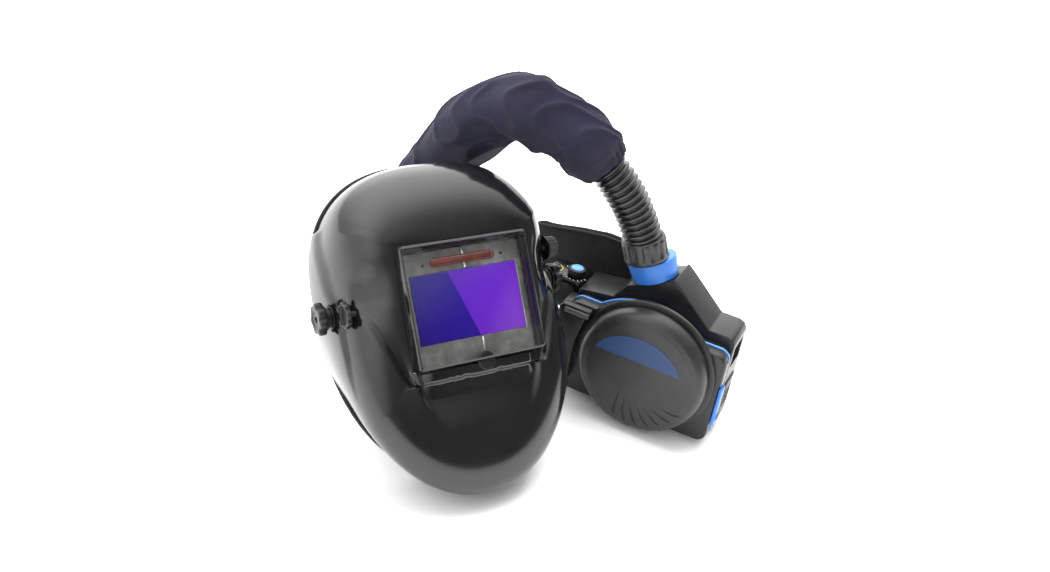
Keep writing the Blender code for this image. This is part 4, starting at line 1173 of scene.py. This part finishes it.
def carve(obj, meshes):
    """Cuts each mesh, given in the blower's frame, out of the object."""
    for index, mesh in enumerate(meshes):
        cutter = bpy.data.objects.new(f"carver_{index}", mesh)
        bpy.context.scene.collection.objects.link(cutter)
        cutter.matrix_world = BLOWER
        bpy.context.view_layer.update()
        modifier(obj, "BOOLEAN", object=cutter, operation="DIFFERENCE", solver="EXACT")
        apply_modifiers(obj)
        bpy.data.objects.remove(cutter)
    obj.data.set_sharp_from_angle(angle=math.radians(35))
    return obj


def along_y(name, profile, centre, segments=96, wave=None):
    """A lathe on the blower's front-to-back line, its profile measured forwards."""
    return lathe_mesh(name, profile, segments, (0, -1, 0), centre, 35, wave)


def make_cover():
    radius = COVER_RADIUS
    profile = [(0.0, 0.0295), (0.04, 0.0295), (0.059, 0.0293), (0.064, 0.0286), (0.0655, 0.0276),
        (0.067, 0.0276), (0.0695, 0.0262), (0.0722, 0.0238), (0.0744, 0.0195), (0.0752, 0.015),
        (0.0752, 0.0095), (0.0735, 0.008), (0.0735, 0.0052), (radius - 0.0008, 0.0046), (radius, 0.0038),
        (radius, 0.0008), (radius - 0.001, 0.0), (0.0625, 0.0), (0.0625, 0.002), (radius - 0.009, 0.003),
        (radius - 0.009, 0.015), (0.062, 0.0235), (0.0, 0.026)]
    mesh = along_y("filter_lid", profile, (0, COVER_BACK - 0.0003, 0), 160)
    lid = piece("filter_lid", mesh, FRONT_CHARCOAL, BLOWER, "filter_cap", "filter_cover", "charcoal_blower")
    cutters = []
    for index in range(7):
        foot_turn = math.radians(-118 + index * 13)
        head_turn = foot_turn + math.radians(14)
        known = []
        for share in (0.0, 0.5, 1.0):
            turn = foot_turn + (head_turn - foot_turn) * (1 - share)
            reach = 0.068 + (0.033 + 0.002 * index - 0.068) * share
            known.append((reach * math.cos(turn), 0.0002 + 0.0011 * (1 - share) ** 2,
                reach * math.sin(turn)))
        route = catmull(known, 12)
        rows = tube_rows(route, lambda s, a: 0.0014 * (0.35 + 0.65 * math.sin(math.pi * min(1, 0.08 + s))),
            10)
        cutters.append(grid_mesh("groove", rows, wrap_columns=True, caps=True))
    carve(lid, cutters)
    label = [(0.055 * math.cos(a) - 0.004, 0.0475 * math.sin(a)) for a in np.radians(np.linspace(22, 158,
        60))]
    mesh = slab_mesh("cover_badge", label, -0.0001, 0.0008)
    piece("cover_badge", mesh, LABEL, BLOWER, "filter_cap", "cover_label")


def make_front_housing():
    front = slab_mesh("front_case", blower_outline(), COVER_BACK, TRIM_FRONT - 0.0003, 0.0018, 3)
    case = piece("front_case", front, CHARCOAL, BLOWER, "headgear", "front_housing", "charcoal_blower")
    hole = along_y("hole", [(0.0, 0.0), (0.05, 0.0), (0.05, 0.04), (0.0, 0.04)],
        (FAN_CENTRE_X, COVER_BACK + 0.05, FAN_CENTRE_Z))
    carve(case, [hole])
    left = BODY_LEFT - SHOULDER_OUT
    shoulder = [(left, -0.05), (left + 0.004, -0.056), (-0.087, -0.056), (-0.0855, 0.0), (-0.079, 0.029),
        (-0.0725, 0.04), (-0.074, 0.0425), (left + 0.004, 0.0425), (left, 0.038)]
    mesh = slab_mesh("left_shoulder", shoulder, 0.02, COVER_BACK + 0.0006, 0.0014, 2)
    piece("left_shoulder", mesh, CHARCOAL, BLOWER, "headgear", slot="charcoal_blower")
    side = box_mesh("left_cheek", (0.01, 0.026, 0.096), (left + 0.0052, 0.0425, -0.008), 0.0016, 3)
    piece("left_cheek", side, CHARCOAL, BLOWER, "headgear", slot="charcoal_blower")
    band = box_mesh("shoulder_band", (0.03, 0.003, 0.0062), (-0.089, 0.0192, 0.0372), 0.001, 3)
    piece("shoulder_band", band, BAND_GREY, BLOWER, "headgear", slot="charcoal_blower")
    for name, z, tall in (("left_stripe_high", 0.012, 0.036), ("left_stripe_low", -0.042, 0.022)):
        stripe = box_mesh(name, (0.0014, 0.01, tall), (left - 0.0003, 0.0262, z), 0.0004, 2)
        piece(name, stripe, LIGHT_BLUE, BLOWER, "headgear")
    trim = slab_mesh("trim_line", blower_outline(0.0008), TRIM_FRONT, TRIM_BACK - 0.0003, 0.0003, 1)
    piece("trim_line", trim, LIGHT_BLUE, BLOWER, "headgear", "parting_trim")
    can = [(0.0, 0.0083), (0.046, 0.0083), (0.05, 0.0085), (0.058, 0.0085), (0.06, 0.0078), (0.06, 0.0),
        (0.0, 0.0)]
    mesh = along_y("filter_can", can, (0, COVER_BACK - 0.0003, 0), 72)
    piece("filter_can", mesh, FILTER, BLOWER, "headgear", "filter_canister")


def make_rear_housing():
    outline = [(BODY_LEFT, -0.06), (BODY_LEFT + 0.012, BODY_BOTTOM), (0.072, BODY_BOTTOM),
        (BODY_RIGHT, -0.06), (BODY_RIGHT, 0.046), (0.081, 0.052), (0.075, 0.0545), (0.053, 0.0545),
        (0.01, 0.093), (0.002, 0.099), (0.0014, 0.0958), (-0.0494, 0.0721), (-0.062, 0.052),
        (BODY_LEFT, 0.046)]
    mesh = slab_mesh("rear_case", outline, 0.056, BODY_BACK, 0.003, 4)
    case = piece("rear_case", mesh, CHARCOAL, BLOWER, "headgear", "rear_housing", "charcoal_blower")
    carve(case, [box_mesh("k", (0.056, 0.034, 0.056), (0.0795, BODY_MIDDLE, -0.036)),
        box_mesh("k", (0.036, 0.032, 0.028), (0.087, BODY_MIDDLE, 0.026), 0.003, 3),
        along_y("k", [(0.0, 0.0), (0.048, 0.0), (0.048, 0.0405), (0.0, 0.0405)], (FAN_CENTRE_X, 0.086,
        FAN_CENTRE_Z)), lathe_mesh("k", [(0.0, -0.07), (0.017, -0.07), (0.017, 0.01), (0.0, 0.01)], 48,
        PORT_AXIS, TOWER_FOOT),])
    shelf = slab_mesh("rear_step", blower_outline(-0.0012), TRIM_BACK, 0.06, 0.0014, 3)
    step_case = piece("rear_step", shelf, CHARCOAL, BLOWER, "headgear", slot="charcoal_blower")
    carve(step_case, [along_y("k", [(0.0, 0.0), (0.048, 0.0), (0.048, 0.03), (0.0, 0.03)],
        (FAN_CENTRE_X, 0.07, FAN_CENTRE_Z))])
    louvres = []
    for index in range(4):
        z = 0.0165 + index * 0.0062
        louvres.append(box_mesh("l", (0.0016, 0.03, 0.0014), (BODY_RIGHT - 0.011, BODY_MIDDLE, z), 0.0004,
            1))
    piece("outlet_louvres", join_meshes("outlet_louvres", louvres), NYLON, BLOWER, "headgear",
        slot="charcoal_blower")
    for index, (x, z) in enumerate(((-0.09, -0.058), (-0.09, 0.036), (0.06, -0.062), (0.066, 0.04))):
        screw = lathe_mesh("s", [(0.0012, 0.0), (0.0012, 0.0008), (0.0028, 0.0012), (0.0034, 0.0004),
            (0.0034, -0.0006), (0.0, -0.0006)], 24, (0, 1, 0), (x, BODY_BACK, z))
        piece(f"case_screw_{index}", screw, STEEL, BLOWER, "headgear")
    fan = [lathe_mesh("f", [(0.0, 0.016), (0.009, 0.016), (0.012, 0.014), (0.016, 0.004), (0.04, 0.002),
        (0.04, 0.0), (0.0, 0.0)], 64, (0, -1, 0), (FAN_CENTRE_X, BODY_MIDDLE, FAN_CENTRE_Z))]
    for index in range(24):
        turn = 2 * math.pi * index / 24
        spin = Matrix.Rotation(-turn - 0.5, 4, "Y")
        centre = (FAN_CENTRE_X + 0.033 * math.cos(turn), BODY_MIDDLE - 0.006, FAN_CENTRE_Z + 0.033
            * math.sin(turn))
        fan.append(box_mesh("f", (0.012, 0.0085, 0.0009), centre, 0.0003, 1, spin))
    piece("fan_wheel", join_meshes("fan_wheel", fan), STEEL, BLOWER, "fan", "impeller")
    pack = [box_mesh("b", (0.034, 0.0325, 0.0545), (0.0698, BODY_MIDDLE, -0.036), 0.0022, 3)]
    for index in range(5):
        pack.append(box_mesh("b", (0.001, 0.022, 0.0016), (0.0869, BODY_MIDDLE, -0.024 - index * 0.005),
            0.0004, 1))
    piece("battery_case", join_meshes("battery_case", pack), NYLON, BLOWER, "battery", "battery_pack")
    latch = [box_mesh("l", (0.004, 0.014, 0.05), (BODY_RIGHT + 0.0025, 0.037, -0.022), 0.0018, 4)]
    for index in range(3):
        latch.append(box_mesh("l", (0.0012, 0.009, 0.0012), (BODY_RIGHT + 0.0045, 0.037,
            -0.04 + index * 0.003), 0.0004, 1))
    piece("catch_slider", join_meshes("catch_slider", latch), BLUE, BLOWER, "battery_catch",
        "battery_latch")
    strip = box_mesh("catch_band", (0.0022, 0.0105, 0.03), (BODY_RIGHT + 0.0006, 0.0372, 0.0205), 0.0009, 3)
    piece("catch_band", strip, BAND_GREY, BLOWER, "headgear", slot="charcoal_blower")


def make_port():
    profile = [(0.0202, 0.0235), (0.0272, 0.0235), (0.028, 0.0228), (0.028, 0.0205), (0.0266, 0.008),
        (0.0256, 0.001), (0.025, 0.0004), (0.0202, 0.0004), (0.0202, 0.0235)]
    mesh = lathe_mesh("collar_ring", profile, 96, PORT_AXIS, TOWER_FOOT)
    piece("collar_ring", mesh, BLUE, BLOWER, "hose_collar", "swivel_collar")
    dot = lathe_mesh("collar_pin", [(0.0, 0.001), (0.001, 0.0008), (0.0014, 0.0), (0.0, -0.0004)], 16,
        (0.3, -0.9, 0.1), TOWER_FOOT + PORT_AXIS * 0.004 + Vector((-0.008, -0.0236, 0)))
    piece("collar_pin", dot, STEEL, BLOWER, "hose_collar")


def make_console():
    panel = box_mesh("control_panel", (0.05, 0.044, 0.04), (BODY_LEFT - 0.0255, BODY_MIDDLE, 0.03), 0.0055,
        5)
    console = piece("control_panel", panel, PANEL, BLOWER, "headgear", "control_console")
    pit = lathe_mesh("k", [(0.0, -0.004), (0.006, -0.004), (0.006, 0.01), (0.0, 0.01)], 48, (0, 0, 1),
        (-0.143, BODY_MIDDLE - 0.005, 0.051))
    carve(console, [pit])
    base = Vector((-0.117, BODY_MIDDLE - 0.005, 0.0506))
    knob = lobed_mesh("speed_grip", 0.0105, 0.0008, 20, 0.0088, (0, 0, 1), base + Vector((0, 0, 0.0044)),
        200, 0.001)
    piece("speed_grip", knob, NYLON, BLOWER, "speed_dial", "speed_knob")
    cap = lathe_mesh("speed_cap", [(0.0, 0.001), (0.0062, 0.0009), (0.007, 0.0004), (0.0072, -0.0002),
        (0.0, -0.0002)], 48, (0, 0, 1), base + Vector((0, 0, 0.0089)))
    piece("speed_cap", cap, LIGHT_BLUE, BLOWER, "speed_dial")
    key = lathe_mesh("power_key_cap", [(0.0, 0.004), (0.0035, 0.004), (0.005, 0.0036), (0.0055, 0.0028),
        (0.0055, 0.0), (0.0, 0.0)], 40, (0, 0, 1), (-0.143, BODY_MIDDLE - 0.005, 0.0486))
    piece("power_key_cap", key, PANEL, BLOWER, "power_key", "power_button")
    ring = lathe_mesh("key_ring", [(0.0072, 0.0), (0.0079, 0.0), (0.0079, 0.0002), (0.0072, 0.0002),
        (0.0072, 0.0)], 64, (0, 0, 1), (-0.143, BODY_MIDDLE - 0.005, 0.0501))
    piece("key_ring", ring, YELLOW, BLOWER, "headgear", slot="gloss_panel")
    marks = []
    for index in range(8):
        turn = math.radians(200 + index * 20)
        size = 0.0014 + 0.0002 * index
        spot = base + Vector((0.0138 * math.cos(turn), 0.0138 * math.sin(turn), -0.0003))
        marks.append(box_mesh("m", (size, 0.0006, 0.0003), spot, 0, 1, Matrix.Rotation(turn, 4, "Z")))
    for index, x in enumerate((-0.1335, -0.131, -0.1285)):
        marks.append(box_mesh("m", (0.0012, 0.0012 + 0.001 * index, 0.0003), (x, BODY_MIDDLE + 0.006,
            0.0502)))
    piece("dial_marks", join_meshes("dial_marks", marks), WHITE, BLOWER, "headgear", slot="gloss_panel")
    plate = [box_mesh("p", (0.08, 0.004, 0.06), (-0.03, BODY_BACK + 0.0023, -0.005), 0.0016, 3)]
    piece("hook_plate", join_meshes("hook_plate", plate), NYLON, BLOWER, "headgear", "belt_plate")


# ---- belt ----------------------------------------------------------------------


def make_belt():
    path = catmull([(0.006, 0.119, 0.03), (-0.03, 0.119, 0.032), (-0.07, 0.12, 0.033),
        (-0.105, 0.124, 0.033), (-0.14, 0.131, 0.03), (-0.18, 0.142, 0.024), (-0.215, 0.155, 0.018)], 56)
    tall = list(np.interp(np.linspace(0, 6, 56), range(7), (0.096, 0.114, 0.122, 0.12, 0.108, 0.092, 0.08)))
    padded_strip("belt_cushion", path, tall, 0.0118, PADDING, BLOWER, "headgear", "belt_pad",
        "black_padding", 4.0)
    for name, sign in (("piping_high", 1), ("piping_low", -1)):
        edge = [p + Vector((0, 0, sign * tall[i] * 0.455)) - OUT_OF_PAD * 0.0058 for i,
            p in enumerate(path)][3:-3]
        rows = tube_rows(edge, 0.0013, 10)
        piece(name, grid_mesh(name, rows, wrap_columns=True, caps=True), WEBBING, BLOWER, "headgear",
            slot="black_padding")
    far = catmull([(-0.218, 0.166, BELT_MIDDLE), (-0.232, 0.178, BELT_MIDDLE), (-0.236, 0.196, BELT_MIDDLE),
        (-0.224, 0.211, BELT_MIDDLE), (-0.2, 0.218, BELT_MIDDLE), (-0.15, BUCKLE_BACK, BELT_MIDDLE),
        (-0.13, BUCKLE_BACK, BELT_MIDDLE)], 70)
    near = catmull([(-0.093, 0.2268, BELT_MIDDLE), (-0.07, 0.2268, BELT_MIDDLE),
        (-0.044, 0.2266, BELT_MIDDLE), (-0.028, 0.222, BELT_MIDDLE), (-0.01, 0.213, BELT_MIDDLE),
        (0.006, 0.198, BELT_MIDDLE), (0.012, 0.172, BELT_MIDDLE), (0.01, 0.132, BELT_MIDDLE)], 80)
    for name, node, route in (("webbing_left", "belt_webbing_left", far),
                              ("webbing_right", "belt_webbing_right", near)):
        meshes = [band_mesh("w", route, (0, 0, 1), WEBBING_TALL, WEBBING_THICK, 0.0008)]
        for shift in (-0.0185, 0.0185):
            meshes.append(band_mesh("w", [p + Vector((0, 0, shift)) for p in route], (0, 0, 1), 0.0014,
                0.0029, 0.0005))
        piece(name, join_meshes(name, meshes), WEBBING, BLOWER, "headgear", node)
    tab = catmull([(-0.2184, 0.1668, BELT_MIDDLE), (-0.212, 0.1636, BELT_MIDDLE),
        (-0.2, 0.1586, BELT_MIDDLE), (-0.185, 0.1522, BELT_MIDDLE), (-0.17, 0.1466, BELT_MIDDLE)], 24)
    sewn = [band_mesh("w", tab, (0, 0, 1), WEBBING_TALL, WEBBING_THICK, 0.0008)]
    for shift in (-0.017, 0.017):
        sewn.append(band_mesh("w", [p + Vector((0, 0, shift)) for p in tab[4:22]], (0, 0, 1), 0.0008, 0.003,
            0.0003))
    piece("webbing_tab", join_meshes("webbing_tab", sewn), WEBBING, BLOWER, "headgear")
    housing = [box_mesh("b", (0.028, 0.012, 0.056), (-0.1154, BUCKLE_BACK, BELT_MIDDLE), 0.003, 4)]
    for x in (-0.1255, -0.1225):
        housing.append(box_mesh("b", (0.0012, 0.0004, 0.04), (x, 0.2261, BELT_MIDDLE), 0.0001, 1))
    piece("buckle_socket", join_meshes("buckle_socket", housing), NYLON, BLOWER, "headgear",
        "buckle_female")
    tongue = [box_mesh("b", (0.024, 0.01, 0.05), (-0.0888, BUCKLE_BACK, BELT_MIDDLE), 0.0026, 4)]
    for shift in (-0.016, 0.016):
        tongue.append(box_mesh("b", (0.016, 0.0008, 0.008), (-0.09, 0.215, BELT_MIDDLE + shift), 0.0003, 2))
    piece("buckle_prong", join_meshes("buckle_prong", tongue), NYLON, BLOWER, "buckle_tongue",
        "buckle_male")


# ---- floor, lights and camera --------------------------------------------------


def studio_world():
    """A dim room with broad soft light from the left and from above and behind."""
    world = bpy.context.scene.world or bpy.data.worlds.new("studio")
    bpy.context.scene.world = world
    world.use_nodes = True
    tree = world.node_tree
    background = tree.nodes["Background"]
    coords = tree.nodes.new("ShaderNodeTexCoord")
    total = None
    for axis, low, high, strength in LIGHT_LOBES:
        dot = tree.nodes.new("ShaderNodeVectorMath")
        dot.operation = "DOT_PRODUCT"
        dot.inputs[1].default_value = Vector(axis).normalized()
        tree.links.new(coords.outputs["Generated"], dot.inputs[0])
        fade = tree.nodes.new("ShaderNodeMapRange")
        fade.interpolation_type = "SMOOTHSTEP"
        for socket, value in zip(("From Min", "From Max", "To Min", "To Max"), (low, high, 0.0, strength)):
            fade.inputs[socket].default_value = value
        tree.links.new(dot.outputs["Value"], fade.inputs["Value"])
        add = tree.nodes.new("ShaderNodeMath")
        add.operation = "ADD"
        add.inputs[1].default_value = ROOM_LIGHT
        if total is not None:
            tree.links.new(total, add.inputs[1])
        tree.links.new(fade.outputs["Result"], add.inputs[0])
        total = add.outputs["Value"]
    tree.links.new(total, background.inputs["Strength"])
    background.inputs["Color"].default_value = (1.0, 1.0, 1.0, 1.0)


def make_stage():
    mesh = bpy.data.meshes.new("studio_floor")
    corners = [(x * FLOOR_REACH, y * FLOOR_REACH, FLOOR_LEVEL) for x, y in ((-1, -1), (1, -1), (1, 1),
        (-1, 1))]
    mesh.from_pydata(corners, [], [(0, 1, 2, 3)])
    floor = bpy.data.objects.new("studio_floor", mesh)
    bpy.context.scene.collection.objects.link(floor)
    n = Nodes("studio_white")
    mesh.materials.append(n.set(Base_Color=(0.92, 0.92, 0.92), Roughness=0.9))
    studio_world()
    scene = bpy.context.scene
    scene.view_settings.view_transform = "Standard"
    scene.view_settings.look = "None"
    data = bpy.data.lights.new("top_softbox", "AREA")
    data.shape = "RECTANGLE"
    data.size, data.size_y = (1.4, 1.2)
    data.energy = LIGHT_POWER
    lamp = bpy.data.objects.new("top_softbox", data)
    scene.collection.objects.link(lamp)
    lamp.visible_glossy = False
    lamp.location = LIGHT_PLACE
    lamp.rotation_euler = (LIGHT_PLACE - LIGHT_AIM).to_track_quat("Z", "Y").to_euler()
    data = bpy.data.cameras.new("camera")
    data.lens = CAMERA_LENS
    data.sensor_width = CAMERA_SENSOR
    camera = bpy.data.objects.new("camera", data)
    scene.collection.objects.link(camera)
    right = CAMERA_RIGHT.normalized()
    back = -CAMERA_AHEAD.normalized()
    up = back.cross(right).normalized()
    turn = Matrix((right, up, back)).transposed().to_4x4()
    camera.matrix_world = Matrix.Translation(CAMERA_PLACE) @ turn
    scene.camera = camera


make_shell()
make_window()
make_side_controls()
make_pivots()
make_headband()
make_pads()
make_duct()
make_hose()
make_cover()
make_front_housing()
make_rear_housing()
make_port()
make_console()
make_belt()
make_stage()
